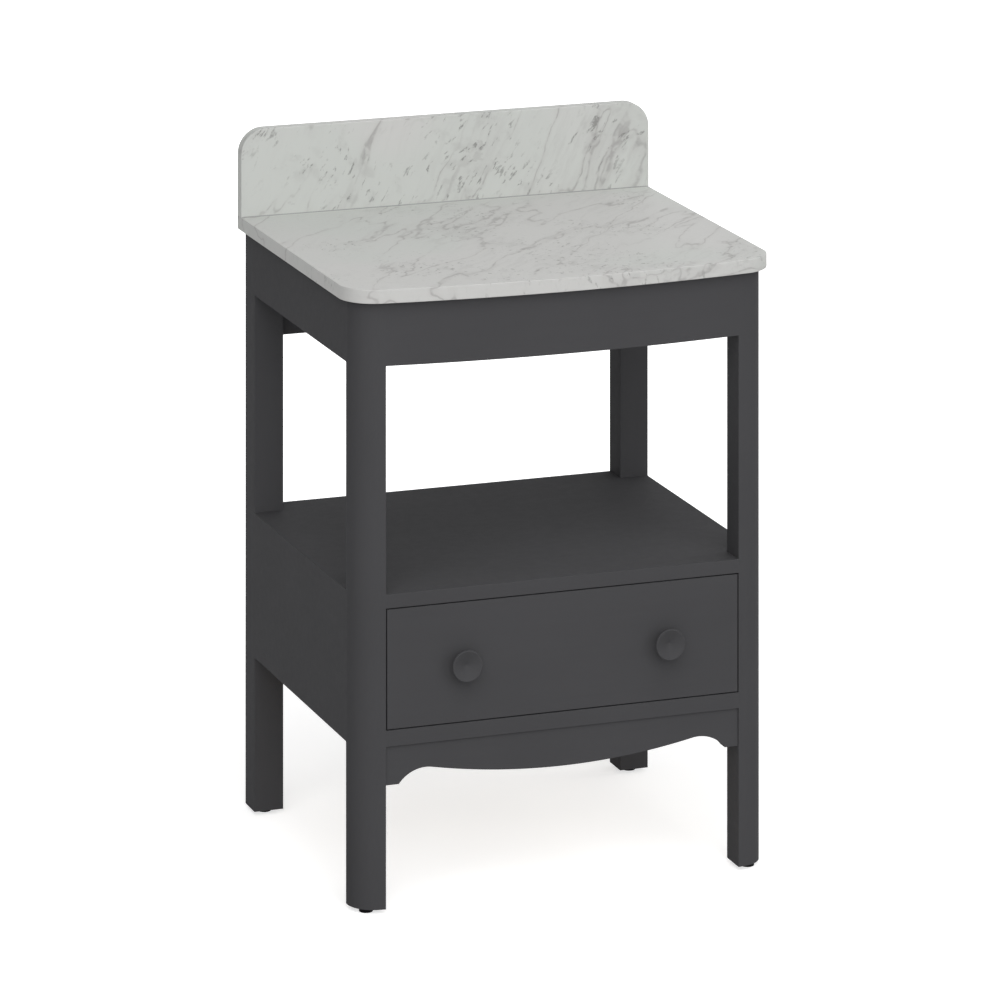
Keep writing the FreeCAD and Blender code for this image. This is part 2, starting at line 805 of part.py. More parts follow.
def drawer_side(side_name):
    side = SIDES[side_name]
    body = new_body(f"drawer_{side_name}_side")
    x = sided(side, BOX_INNER, BOX_OUTER)
    box(body, "Board", (x[0], BOX_FRONT, BOX_BOTTOM), (x[1], BOX_REAR, BOX_TOP))
    groove = sided(side, BOX_INNER, BOX_INNER + s.drawer_groove_depth)
    low = (groove[0], BOX_FRONT + s.drawer_side_thickness - s.drawer_groove_depth,
           BOTTOM_LOW - s.joint_clearance)
    box(body, "Groove", low, (groove[1], BOX_REAR, BOTTOM_HIGH + s.joint_clearance), cut=True)
    for number, screw in enumerate(slide_screws(side), start=1):
        screw.pilot(body, f"RunnerScrew{number}")


def drawer_box_front():
    body = new_body("drawer_box_front")
    back = BOX_FRONT + s.drawer_side_thickness
    box(body, "Board", (-BOX_INNER, BOX_FRONT, BOX_BOTTOM), (BOX_INNER, back, BOX_TOP))
    low = (-BOX_INNER, back - s.drawer_groove_depth, BOTTOM_LOW - s.joint_clearance)
    box(body, "Groove", low, (BOX_INNER, back, BOTTOM_HIGH + s.joint_clearance), cut=True)
    for number, screw in enumerate(front_screws(), start=1):
        screw.countersink(body, f"Screw{number}")
    for name, side in SIDES.items():
        x, y, z = knob_place(side)
        drill(body, f"{name}KnobHole", (x, BOX_FRONT, z), BACKWARD,
              s.knob_screw_radius + s.screw_clearance, s.drawer_side_thickness)


def drawer_back():
    body = new_body("drawer_back")
    low = (-BOX_INNER, BOX_REAR - s.drawer_side_thickness, BOTTOM_HIGH + s.joint_clearance)
    box(body, "Board", low, (BOX_INNER, BOX_REAR, BOX_TOP))


def drawer_bottom():
    body = new_body("drawer_bottom")
    half = BOX_INNER + s.drawer_groove_depth - s.joint_clearance
    front = BOX_FRONT + s.drawer_side_thickness - s.drawer_groove_depth + s.joint_clearance
    box(body, "Panel", (-half, front, BOTTOM_LOW), (half, BOX_REAR, BOTTOM_HIGH))


def knob(side_name):
    """Turned on its axis: a small base, a neck, a hollow flare out to the rim and a conical dish."""
    body = new_body(f"{side_name}_knob")
    hole = s.knob_screw_radius + s.screw_clearance
    depth = s.knob_screw_engagement + s.screw_clearance
    rim, lip = s.knob_radius, s.knob_projection
    rim_back = lip - s.knob_rim_thickness
    neck, neck_top, flare = s.knob_neck_radius, s.knob_neck_height, s.knob_flare_radius
    run, climb = rim - neck, rim_back - neck_top
    chord = root(run * run + climb * climb)
    reach = root(flare * flare - chord * chord / 4)
    flare_x = (rim + neck) / 2 + climb * reach / chord
    flare_y = (rim_back + neck_top) / 2 - run * reach / chord
    dish, soft = lip - s.knob_dish_depth, s.knob_rim_round
    corners = [(hole, ZERO), (s.knob_base_radius, ZERO), (s.knob_base_radius, s.knob_base_height),
               (neck, neck_top, flare, flare_x, flare_y), (rim, rim_back),
               (rim, lip - soft, soft, rim - soft, lip - soft), (rim - soft, lip), (ZERO, dish),
               (ZERO, depth), (hole, depth)]
    sketch = new_sketch(body, "Profile", "XZ_Plane", ZERO, corners)
    turned = body.newObject("PartDesign::Revolution", "Turned")
    turned.Profile = sketch
    turned.ReferenceAxis = (sketch, ["V_Axis"])
    turned.Angle = 360
    place(body, knob_place(SIDES[side_name]), facing(FORWARD))


def knob_screws():
    """Machine screws from inside the drawer into the knobs."""
    group = doc.addObject("Part::Compound", "knob_screws")
    group.Label = "knob_screws"
    back = BOX_FRONT + s.drawer_side_thickness
    length = s.drawer_side_thickness + s.drawer_front_thickness + s.knob_screw_engagement
    links = []
    for name, side in SIDES.items():
        x, y, z = knob_place(side)
        head = doc.addObject("Part::Cylinder", f"{name}KnobScrewHead")
        bind(head, "Radius", s.knob_screw_head_radius)
        bind(head, "Height", s.knob_screw_head_height)
        place(head, (x, back, z), facing(BACKWARD))
        shank = doc.addObject("Part::Cylinder", f"{name}KnobScrewShank")
        bind(shank, "Radius", s.knob_screw_radius)
        bind(shank, "Height", length)
        place(shank, (x, back, z), facing(FORWARD))
        whole = doc.addObject("Part::MultiFuse", f"{name}KnobScrew")
        whole.Shapes = [head, shank]
        links.append(whole)
    group.Links = links


drawer_front()
drawer_box_front()
drawer_back()
drawer_bottom()
for side_name in SIDES:
    drawer_side(side_name)
    knob(side_name)
knob_screws()
screw_node("drawer_front_screws", front_screws())


# Telescopic runners: three nested channels with two rows of balls between each pair.
# A distance into the runner is measured from the cabinet's side towards the drawer.

BALL_TRACK = (s.ball_radius + s.ball_clearance) * 2
OUTER_TRACK = s.runner_half_height - s.runner_steel
MIDDLE_HALF = OUTER_TRACK - BALL_TRACK
INNER_TRACK = MIDDLE_HALF - s.runner_steel
INNER_HALF = INNER_TRACK - BALL_TRACK

OUTER_CAGE_WEB = s.runner_steel + s.web_gap
MIDDLE_WEB = OUTER_CAGE_WEB + s.cage_steel + s.web_gap
INNER_CAGE_WEB = MIDDLE_WEB + s.runner_steel + s.web_gap
INNER_LIP = INNER_CAGE_WEB + s.cage_steel + s.web_gap
OUTER_LIP = s.runner_depth - s.outer_lip_setback
MIDDLE_LIP = s.runner_depth - s.middle_lip_setback


def channel(label, side, web, tips, half_height, steel, front, rear):
    """A channel along Y. Its web's outer face is at web and its lips end at tips."""
    body = new_body(label)
    opens = 1 if tips.value > web.value else -1
    web_inside = web + steel * opens

    def at(distance, z):
        return ((INNER - distance) * side, RUNNER_Z + z)

    inside = half_height - steel
    corners = [at(web, -half_height), at(tips, -half_height), at(tips, -inside), at(web_inside, -inside),
               at(web_inside, inside), at(tips, inside), at(tips, half_height), at(web, half_height)]
    pad_forward(body, "Channel", corners, rear, rear - front)
    return body


def runner(side_name):
    side = SIDES[side_name]
    cabinet = channel(f"{side_name}_runner_cabinet_member", side, ZERO, OUTER_LIP,
                      s.runner_half_height, s.runner_steel, RUNNER_FRONT, RUNNER_REAR)
    for number, screw in enumerate(rail_screws(side), start=1):
        screw.countersink(cabinet, f"Screw{number}")
    channel(f"{side_name}_runner_middle_member", side, MIDDLE_WEB, MIDDLE_LIP,
            MIDDLE_HALF, s.runner_steel, RUNNER_FRONT, RUNNER_REAR)
    drawer = channel(f"{side_name}_runner_drawer_member", side, s.runner_depth, INNER_LIP,
                     INNER_HALF, s.runner_steel, RUNNER_FRONT, RUNNER_REAR)
    for number, screw in enumerate(slide_screws(side), start=1):
        screw.countersink(drawer, f"Screw{number}")


def ball_cage(label, side, web, tips, ball_offset, track):
    """A thin channel with a row of ball holes in each lip, and its balls as a node of their own.
    The balls run on the inside of a channel whose lips are this far from the middle line."""
    ball_line = track - BALL_TRACK / 2
    front = RUNNER_FRONT + s.cage_start
    length = s.ball_end * 2 + s.ball_pitch * (BALLS_PER_LIP - 1)
    half_height = ball_line + s.cage_steel / 2
    body = channel(f"{label}_ball_cage", side, web, tips, half_height, s.cage_steel, front, front + length)
    start = ((INNER - ball_offset) * side, front + s.ball_end, RUNNER_Z - half_height)
    hole = drill(body, "BallHole", start, UPWARD, s.ball_radius + s.ball_hole_clearance, half_height * 2)
    row = body.newObject("PartDesign::LinearPattern", "BallHoles")
    row.Originals = [hole]
    along = next(item for item in body.Origin.OriginFeatures if item.Role == "Y_Axis")
    row.Direction = (along, [""])
    row.Occurrences = BALLS_PER_LIP
    bind(row, "Length", s.ball_pitch * (BALLS_PER_LIP - 1))
    body.Tip = row
    balls = []
    for number in range(BALLS_PER_LIP):
        for up in (-1, 1):
            ball = doc.addObject("Part::Sphere", f"{label}Ball")
            bind(ball, "Radius", s.ball_radius)
            place(ball, (start[0], start[1] + s.ball_pitch * number, RUNNER_Z + ball_line * up))
            balls.append(ball)
    group = doc.addObject("Part::Compound", f"{label}_balls")
    group.Label = f"{label}_balls"
    group.Links = balls


for side_name, side in SIDES.items():
    runner(side_name)
    ball_cage(f"{side_name}_outer", side, OUTER_CAGE_WEB, OUTER_LIP - s.cage_lip_setback,
              (MIDDLE_WEB + OUTER_LIP) / 2, OUTER_TRACK)
    ball_cage(f"{side_name}_inner", side, INNER_CAGE_WEB, MIDDLE_LIP - s.cage_lip_setback,
              (INNER_LIP + MIDDLE_LIP) / 2, INNER_TRACK)
screw_node("cabinet_runner_screws", rail_screws(-1) + rail_screws(1))
screw_node("drawer_runner_screws", slide_screws(-1) + slide_screws(1))


# Levelling feet: a round glide on a threaded stud, in a metal insert in each leg

def levelling_foot(end, side_name):
    body = new_body(f"{end}_{side_name}_foot")
    ease, top = s.foot_ease, s.foot_height
    corners = [(ZERO, ZERO), (s.foot_radius - ease, ZERO), (s.foot_radius, ease), (s.foot_radius, top),
               (s.foot_stud_radius, top), (s.foot_stud_radius, top + s.foot_stud_length - ease),
               (s.foot_stud_radius - ease, top + s.foot_stud_length), (ZERO, top + s.foot_stud_length)]
    sketch = new_sketch(body, "Profile", "XZ_Plane", ZERO, corners)
    turned = body.newObject("PartDesign::Revolution", "Turned")
    turned.Profile = sketch
    turned.ReferenceAxis = (sketch, ["V_Axis"])
    turned.Angle = 360
    place(body, foot_centre(end, SIDES[side_name]) + (ZERO,))


def threaded_inserts():
    group = doc.addObject("Part::Compound", "threaded_inserts")
    group.Label = "threaded_inserts"
    rings = []
    for end in ("front", "rear"):
        for name, side in SIDES.items():
            parts = []
            for what, radius in (("Wall", INSERT_RADIUS), ("Bore", INSERT_BORE)):
                part = doc.addObject("Part::Cylinder", f"{end}{name}Insert{what}")
                bind(part, "Radius", radius)
                bind(part, "Height", s.insert_length)
                place(part, foot_centre(end, side) + (s.foot_height,))
                parts.append(part)
            ring = doc.addObject("Part::Cut", f"{end}{name}Insert")
            ring.Base, ring.Tool = parts
            rings.append(ring)
    group.Links = rings


for end in ("front", "rear"):
    for side_name in SIDES:
        levelling_foot(end, side_name)
threaded_inserts()


# Checks and export

doc.recompute()
failed = [thing.Label for thing in doc.Objects if set(thing.State) & {"Invalid", "Error"}]
if failed:
    raise RuntimeError(f"these features failed: {failed}")

bodies = [thing for thing in doc.Objects if thing.TypeId == "PartDesign::Body"]
groups = [thing for thing in doc.Objects if thing.TypeId == "Part::Compound"]
os.makedirs("parts", exist_ok=True)
for node in bodies + groups:
    if node.Shape.isNull() or not node.Shape.isValid():
        raise RuntimeError(f"{node.Label} has no valid shape")
    node.Shape.exportStep(f"parts/{node.Label}.step")
    limits = node.Shape.BoundBox
    print(f"{node.Label}: {len(node.Shape.Solids)} solids, {node.Shape.Volume / 1000:.1f} cm3, "
          f"x {limits.XMin:.1f} to {limits.XMax:.1f}, y {limits.YMin:.1f} to {limits.YMax:.1f}, "
          f"z {limits.ZMin:.1f} to {limits.ZMax:.1f}")
print(len(bodies) + len(groups), "nodes")
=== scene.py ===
# %% [markdown]
# # A painted vanity unit with a marble top
#
# This lesson dresses a finished CAD model so that it looks like the real thing in a studio photograph. The
# unit is a timber stand with four legs, an open shelf and one drawer, painted dark grey all over. Its top is
# a pale grey marble with soft veins, and has an upstand at the wall.
#
# The CAD model is the frame. It says where every piece is and how it moves, and nothing here changes that.
# Blender adds what CAD leaves out: rounded edges, paint, stone, metal, light and a camera.

# %%
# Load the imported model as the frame
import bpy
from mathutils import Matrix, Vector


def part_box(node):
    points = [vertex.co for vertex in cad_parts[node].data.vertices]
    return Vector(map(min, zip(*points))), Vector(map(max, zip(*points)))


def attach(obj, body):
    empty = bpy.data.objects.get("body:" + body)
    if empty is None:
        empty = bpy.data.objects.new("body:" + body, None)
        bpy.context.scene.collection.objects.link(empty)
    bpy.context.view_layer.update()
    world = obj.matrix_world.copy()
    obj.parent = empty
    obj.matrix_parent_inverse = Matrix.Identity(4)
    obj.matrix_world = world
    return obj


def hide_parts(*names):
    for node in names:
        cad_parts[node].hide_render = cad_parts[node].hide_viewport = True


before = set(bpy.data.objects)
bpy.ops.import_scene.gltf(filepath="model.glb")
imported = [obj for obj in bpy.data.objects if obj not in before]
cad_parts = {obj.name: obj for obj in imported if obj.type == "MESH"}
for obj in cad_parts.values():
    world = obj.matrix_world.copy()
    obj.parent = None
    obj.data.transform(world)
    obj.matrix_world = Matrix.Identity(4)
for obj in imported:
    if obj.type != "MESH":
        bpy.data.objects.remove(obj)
print("pieces in the frame:", len(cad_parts))

# %% [markdown]
# ## What the frame gives
#
# The main sizes are read from those boxes, so the new pieces can't drift away from the CAD.

# %%
# Other imports, the frame's pieces by name, and millimetres for printing
import math

import bmesh
import bpy
from mathutils import Matrix, Vector

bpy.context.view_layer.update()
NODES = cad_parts


def mm(*values):
    """Metres as millimetres, for printing."""
    return [round(value * 1000, 1) for value in values]


# %% [markdown]
# ## Sizes read from the frame
#
# The front is bowed: the top rail, the legs' faces and the stone's edge lie on circles about one upright
# axis behind the unit. The circle through the rail's middle and the legs' inner front edges is fixed by its
# half chord and its rise:
#
#     radius = (half chord² + rise²) / (2 · rise)

# %%
# The corners of the pieces that give the main sizes
LEG_LOW, LEG_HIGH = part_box("front_right_leg")
REAR_LEG_LOW, REAR_LEG_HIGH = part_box("rear_right_leg")
RAIL_LOW, RAIL_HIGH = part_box("top_front_rail")
SLAB_LOW, SLAB_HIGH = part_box("marble_worktop")
STAND_LOW, STAND_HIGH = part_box("marble_upstand")
SHELF_LOW, SHELF_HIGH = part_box("shelf_board")
BOTTOM_RAIL_LOW, BOTTOM_RAIL_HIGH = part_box("bottom_front_rail")
APRON_LOW, APRON_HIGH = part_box("scalloped_apron")
DRAWER_LOW, DRAWER_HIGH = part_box("drawer_front")
print("slab:", mm(*(SLAB_HIGH - SLAB_LOW)), "mm")

# %%
# The legs' faces and the circle of the bow
INNER = LEG_LOW.x
OUTER = LEG_HIGH.x
FRONT = LEG_LOW.y
LEG_BACK = LEG_HIGH.y
REAR_LEG_FRONT = REAR_LEG_LOW.y
REAR = REAR_LEG_HIGH.y

BOW_RISE = FRONT - RAIL_LOW.y
BOW_RADIUS = (INNER ** 2 + BOW_RISE ** 2) / (2 * BOW_RISE)
BOW_CENTRE = (0.0, RAIL_LOW.y + BOW_RADIUS)
print("bow radius, and y of its centre:", mm(BOW_RADIUS, BOW_CENTRE[1]), "mm")

# %% [markdown]
# Roundings can't be read from a box. They are named here, with the distances below which two places count
# as one, and the number of steps in each arc.

# %%
# Roundings, nearness and steps
LEG_CORNER = 0.040
SLAB_CORNER = 0.054
UPSTAND_CORNER = 0.038
RAIL_THICKNESS = 0.022
STONE_ARRIS = 0.0012
TIMBER_ARRIS = 0.0008

NEAR = 1e-5
WELD = 1e-7
BOW_STEPS = 48
SLAB_CORNER_STEPS = 24
UPSTAND_CORNER_STEPS = 32
LEG_CORNER_STEPS = 28
LEG_FACE_STEPS = 6
SIDES = ("left", "right")
print("arris on the stone and on the timber:", mm(STONE_ARRIS, TIMBER_ARRIS), "mm")

# %% [markdown]
# ## Wiring materials
#
# A procedural material is a small network of nodes that works out colour, gloss and relief from a point's
# own place on the object. `add` makes one node and wires its inputs. `new_material` starts a network with
# that place, in metres, so a noise scale of 100 means features about 10 mm across.

# %%
# Starting a material and adding nodes to it
def add(tree, kind, inputs=None, **settings):
    """Adds a node, sets its options, and wires or fills its inputs."""
    node = tree.nodes.new(kind)
    for key, value in settings.items():
        setattr(node, key, value)
    for key, value in (inputs or {}).items():
        if isinstance(value, bpy.types.NodeSocket):
            tree.links.new(value, node.inputs[key])
        else:
            node.inputs[key].default_value = value
    return node


def new_material(name):
    """An empty material, its node tree, and the place on the object."""
    material = bpy.data.materials.new(name)
    material.use_nodes = True
    tree = material.node_tree
    tree.nodes.clear()
    return material, tree, add(tree, "ShaderNodeTexCoord").outputs["Object"]


trial, trial_tree = new_material("trial")[:2]
print("a noise texture takes:", [socket.name for socket in add(trial_tree, "ShaderNodeTexNoise").inputs])
bpy.data.materials.remove(trial)

# %% [markdown]
# A Mapping node of type Texture turns the pattern and makes it this many times as long along each axis. So
# a noise becomes wood fibres or veins.

# %%
# Patterns and sums
def stretched(tree, place, stretch, turn=(0, 0, 0), shift=(0, 0, 0)):
    """The place as a turned pattern needs it, stretched this many times along x, y and z."""
    angles = [math.radians(angle) for angle in turn]
    inputs = {"Vector": place, "Location": shift, "Rotation": angles, "Scale": stretch}
    return add(tree, "ShaderNodeMapping", inputs, vector_type="TEXTURE").outputs[0]


def noise(tree, place, scale, detail=2.0, roughness=0.5, distortion=0.0):
    inputs = {"Vector": place, "Scale": scale, "Detail": detail}
    inputs |= {"Roughness": roughness, "Distortion": distortion}
    return add(tree, "ShaderNodeTexNoise", inputs).outputs["Fac"]


def between(tree, value, low, high, to_low=0.0, to_high=1.0):
    """Maps a range of values to another one with soft ends, and holds it there."""
    inputs = {"Value": value, "From Min": low, "From Max": high, "To Min": to_low, "To Max": to_high}
    return add(tree, "ShaderNodeMapRange", inputs, interpolation_type="SMOOTHSTEP", clamp=True).outputs[0]


def maths(tree, operation, first, second=0.0):
    return add(tree, "ShaderNodeMath", {0: first, 1: second}, operation=operation).outputs[0]


def product(tree, first, second):
    return maths(tree, "MULTIPLY", first, second)


# %% [markdown]
# Blender's Mix node has several sockets named A and B, one pair for each kind of data, so `mixed` finds the
# colour sockets by their identifiers.

# %%
# Mixing colours
def mixed(tree, share, first, second):
    """Mixes two colours, each one a socket or three numbers, by a share, which is a socket."""
    node = tree.nodes.new("ShaderNodeMix")
    node.data_type = "RGBA"
    wanted = {"Factor_Float": share, "A_Color": first, "B_Color": second}
    for socket in node.inputs:
        if socket.identifier in wanted:
            value = wanted[socket.identifier]
            if isinstance(value, bpy.types.NodeSocket):
                tree.links.new(value, socket)
            else:
                socket.default_value = (*value, 1)
    return next(socket for socket in node.outputs if socket.identifier == "Result_Color")


def tinted(tree, colour, pattern, strength, tint):
    """The colour with a tint laid on it where the pattern is."""
    return mixed(tree, product(tree, pattern, strength), colour, tint)


# %%
# Relief, and the shader itself
def relief(tree, height, strength, distance, normal=None):
    """A bump from a height pattern. The distance is the relief's real depth in metres."""
    inputs = {"Height": height, "Strength": strength, "Distance": distance}
    if normal is not None:
        inputs["Normal"] = normal
    return add(tree, "ShaderNodeBump", inputs).outputs[0]


def surface(material, colour, roughness, normal, **numbers):
    """Ends a material with its shader. Plain numbers go straight on the shader's own sockets."""
    tree = material.node_tree
    inputs = {"Base Color": colour, "Roughness": roughness, "Normal": normal}
    for key, value in numbers.items():
        inputs[key.replace("_", " ")] = value
    shader = add(tree, "ShaderNodeBsdfPrincipled", inputs)
    add(tree, "ShaderNodeOutputMaterial", {"Surface": shader.outputs[0]})
    print(f"{material.name}: {len(tree.nodes)} nodes")
    return material


# %% [markdown]
# ## Marble
#
# The stone is a honed marble. Close up, the photograph shows a ground that drifts between a greenish and a
# warmer grey, faint clouds and brushed streaks, soft brownish stains along long thin veins, small smoky
# blotches, and clusters of short dark dashes. Each is its own layer here, laid on the colour below it.
#
# A vein is a filled crack and never straight, so the place is pushed about by a noise before anything is
# drawn. A wide gentle push bends the long veins, and a small quick one frays them.

# %%
# The ground, its clouds and its streaks
def wandered(tree, place, scale, amount):
    """The place pushed about by a coloured noise, so that a line drawn on it wanders."""
    inputs = {"Vector": place, "Scale": scale, "Detail": 3.0}
    push = {0: add(tree, "ShaderNodeTexNoise", inputs).outputs["Color"], 1: (0.5, 0.5, 0.5)}
    middle = add(tree, "ShaderNodeVectorMath", push, operation="SUBTRACT").outputs[0]
    inputs = {0: middle, 1: (amount, amount, amount), 2: place}
    return add(tree, "ShaderNodeVectorMath", inputs, operation="MULTIPLY_ADD").outputs[0]


def stone_ground(tree, here, bent, strength):
    drift = between(tree, noise(tree, here, 3.0), 0.40, 0.60)
    colour = mixed(tree, drift, (0.533, 0.548, 0.526), (0.550, 0.549, 0.536))
    cloud = between(tree, noise(tree, bent, 9.0, 5.0, 0.6), 0.52, 0.78)
    colour = tinted(tree, colour, cloud, 0.35 * strength, (0.462, 0.462, 0.448))
    brushed = between(tree, noise(tree, here, 4.5, 1.0), 0.50, 0.62, 0.20, 1.0)
    streaks = between(tree, noise(tree, stretched(tree, bent, (1, 1, 9)), 95.0, 3.0, 0.6), 0.45, 0.72)
    return tinted(tree, colour, product(tree, streaks, brushed), 0.42 * strength, (0.430, 0.428, 0.418))


# %% [markdown]
# A vein is drawn where a stretched noise passes through its middle value, for that line runs on through the
# whole stone. Patches let it come and go, and a finer noise frays it.

# %%
# Long veins with stains beside them
def vein(tree, value, half_width):
    """1 on the line where a noise passes through its middle value, fading to 0 beside it."""
    distance = maths(tree, "ABSOLUTE", maths(tree, "SUBTRACT", value, 0.5))
    return between(tree, distance, 0.0, half_width, 1.0, 0.0)


def stone_veins(tree, here, bent, colour, strength):
    """Lays the stains and the long veins on the colour, and gives both."""
    patches = between(tree, noise(tree, here, 6.0), 0.38, 0.52, 0.22, 1.0)
    strands = noise(tree, stretched(tree, bent, (1, 1, 4.5)), 12.0, 3.0)
    stain = product(tree, vein(tree, strands, 0.050), patches)
    colour = tinted(tree, colour, stain, 0.22 * strength, (0.400, 0.385, 0.378))
    frayed = between(tree, noise(tree, bent, 70.0), 0.36, 0.56, 0.25, 1.0)
    veins = product(tree, vein(tree, strands, 0.013), product(tree, patches, frayed))
    return tinted(tree, colour, veins, 0.68 * strength, (0.290, 0.280, 0.276)), veins


# %% [markdown]
# The dashes are the peaks of a noise that is stretched a few times one way. A quick push makes their
# outlines ragged, and a finer noise breaks them up. They come in clusters, with a smoky cloud about each.

# %%
# Blotches, smoke and dashes
def stone_dashes(tree, eased, bent, dash_turn, colour, strength):
    """Lays the blotches and the clustered dashes on the colour, and gives both."""
    blotch = between(tree, noise(tree, bent, 16.0, 6.0, 0.7), 0.635, 0.685)
    colour = tinted(tree, colour, blotch, 0.36 * strength, (0.340, 0.335, 0.328))
    cluster = between(tree, noise(tree, bent, 9.0, 1.0), 0.48, 0.63, 0.12, 1.0)
    smoke = between(tree, noise(tree, bent, 36.0, 3.0, 0.6), 0.52, 0.70)
    colour = tinted(tree, colour, product(tree, cluster, smoke), 0.30 * strength, (0.370, 0.370, 0.360))
    ragged = wandered(tree, eased, 130.0, 0.0022)
    strokes = noise(tree, stretched(tree, ragged, (1, 1, 3.4), dash_turn), 135.0, 3.0, 0.6)
    broken = between(tree, noise(tree, bent, 300.0, 2.0), 0.38, 0.54, 0.45, 1.0)
    dashes = product(tree, between(tree, strokes, 0.59, 0.67), product(tree, cluster, broken))
    return tinted(tree, colour, dashes, 0.84 * strength, (0.190, 0.188, 0.182)), dashes


# %% [markdown]
# The slab and the upstand are sawn from different places in the block, so `marble` makes one version for
# each. It takes a turn for the veins, another for the dashes and a shift, in degrees and metres, and a
# strength for all the markings, which are fainter on the slab. The honed face is a little rougher over the
# mineral lines, and they lie a few hundredths of a millimetre low.

# %%
# The marble of the two pieces
def marble(name, turn, dash_turn, shift, strength):
    material, tree, place = new_material(name)
    here = stretched(tree, place, (1, 1, 1), turn, shift)
    eased = wandered(tree, here, 6.0, 0.055)
    bent = wandered(tree, eased, 42.0, 0.007)
    colour = stone_ground(tree, here, bent, strength)
    colour, veins = stone_veins(tree, here, bent, colour, strength)
    colour, dashes = stone_dashes(tree, eased, bent, dash_turn, colour, strength)
    lines = maths(tree, "MAXIMUM", veins, dashes)
    gloss = between(tree, noise(tree, here, 240.0, 3.0), 0.3, 0.7, 0.40, 0.48)
    gloss = maths(tree, "ADD", gloss, product(tree, lines, 0.10))
    grain = relief(tree, noise(tree, here, 900.0), 0.25, 0.00002)
    normal = relief(tree, maths(tree, "SUBTRACT", 1.0, lines), 0.4, 0.00005, grain)
    return surface(material, colour, gloss, normal, Specular_IOR_Level=0.06)


STONE_SLAB = marble("Marble of the worktop", (0, 90, 48), (0, 60, 0), (0.31, 0.12, 0.70), 0.74)
STONE_UPSTAND = marble("Marble of the upstand", (0, 24, 0), (0, 12, 0), (2.10, 0.40, 1.30), 0.85)

# %% [markdown]
# ## Drawing outlines
#
# Most furniture parts are boards: an outline with a thickness. An outline is easiest to read, and to
# change, as a few moves of one vertex. Extruding the vertex draws a straight line, and spinning it about a
# centre draws an arc. Everything is drawn flat first.

# %%
# Moving one vertex along an outline
def angle_from(centre, point):
    return math.atan2(point[1] - centre[1], point[0] - centre[0])


def put_at(bm, vert, point):
    bmesh.ops.translate(bm, vec=Vector((*point, 0.0)) - vert.co, verts=[vert])
    return vert


def straight_to(bm, tip, point):
    """Extrudes the last vertex and moves the copy to the point."""
    return put_at(bm, bmesh.ops.extrude_vert_indiv(bm, verts=[tip])["verts"][0], point)


def swung_to(bm, tip, point, centre, steps):
    """Spins the last vertex about a centre, the short way round, until it reaches the point."""
    turn = (angle_from(centre, point) - angle_from(centre, tip.co) + math.pi) % math.tau - math.pi
    swung = bmesh.ops.spin(bm, geom=[tip], cent=(*centre, 0.0), axis=(0, 0, 1), angle=turn, steps=steps)
    last = next(item for item in swung["geom_last"] if isinstance(item, bmesh.types.BMVert))
    return put_at(bm, last, point)


def drawn(start, *moves):
    """An outline from a start. A move is a point, or a point with an arc's centre and number of steps."""
    bm = bmesh.new()
    tip = bm.verts.new((*start, 0.0))
    for move in moves:
        tip = straight_to(bm, tip, move) if len(move) == 2 else swung_to(bm, tip, *move)
    return bm


trial = drawn((0.03, 0.0), ((0.0, 0.03), (0.0, 0.0), 16), (0.0, 0.0))
print("a quarter of a disc with a radius of 30 mm takes", len(trial.verts), "vertices")
trial.free()

# %% [markdown]
# `prism` closes the outline, fills it and extrudes it. Where both sides are the same, only the right half
# is drawn, from the middle line and back to it, and a mirror makes the other half.

# %%
# Giving an outline its thickness
LAID = {
    "z": Matrix.Identity(4),
    "y": Matrix.Rotation(math.pi / 2, 4, "X"),
    "x": Matrix.Rotation(math.tau / 3, 4, Vector((1, 1, 1))),
}


def prism(bm, low, high, axis="z", half=False):
    """Closes and fills an outline, and makes it a solid from low to high along one axis."""
    if half:
        bmesh.ops.mirror(bm, geom=bm.verts[:] + bm.edges[:], axis="X", merge_dist=NEAR)
    else:
        bmesh.ops.contextual_create(bm, geom=[vert for vert in bm.verts if len(vert.link_edges) == 1])
    filled = bmesh.ops.contextual_create(bm, geom=bm.edges[:])["faces"]
    pushed = bmesh.ops.extrude_face_region(bm, geom=filled)["geom"]
    moved = [item for item in pushed if isinstance(item, bmesh.types.BMVert)]
    bmesh.ops.translate(bm, vec=(0, 0, high - low), verts=moved)
    bmesh.ops.transform(bm, matrix=LAID[axis], verts=bm.verts)
    shift = Vector()
    along = "xyz".index(axis)
    shift[along] = low - min(vert.co[along] for vert in bm.verts)
    bmesh.ops.translate(bm, vec=shift, verts=bm.verts)
    bmesh.ops.recalc_face_normals(bm, faces=bm.faces)
    return bm


def board(low, high):
    """A plain board between two corners: a cube of one metre, scaled and moved."""
    bm = bmesh.new()
    bmesh.ops.create_cube(bm, size=1.0)
    bmesh.ops.scale(bm, vec=Vector(high) - Vector(low), verts=bm.verts)
    bmesh.ops.translate(bm, vec=(Vector(high) + Vector(low)) / 2, verts=bm.verts)
    return bm


trial = prism(drawn((0.0, 0.0), (0.2, 0.0), (0.2, 0.1), (0.0, 0.1)), 0.0, 0.02, half=True)
print("a board of 400 x 100 x 20 mm holds", round(trial.calc_volume() * 1e6), "cubic centimetres")
trial.free()

# %% [markdown]
# ## Rounding edges
#
# `softened` rounds a chosen set of edges. No real edge is perfectly sharp, and the thin line of light along
# a rounded edge makes a render look real. A test picks the edges: `lies_on` makes one for the edges in one
# plane, and `runs` tells whether an edge gets anywhere along an axis.

# %%
# Picking edges and rounding them
def lies_on(axis, value):
    """Picks the edges that lie in the plane where this axis has this value."""
    def test(edge):
        return all(abs(vert.co[axis] - value) < NEAR for vert in edge.verts)
    return test


def runs(edge, axis):
    """True for an edge that gets anywhere along this axis."""
    return abs(edge.verts[0].co[axis] - edge.verts[1].co[axis]) > NEAR


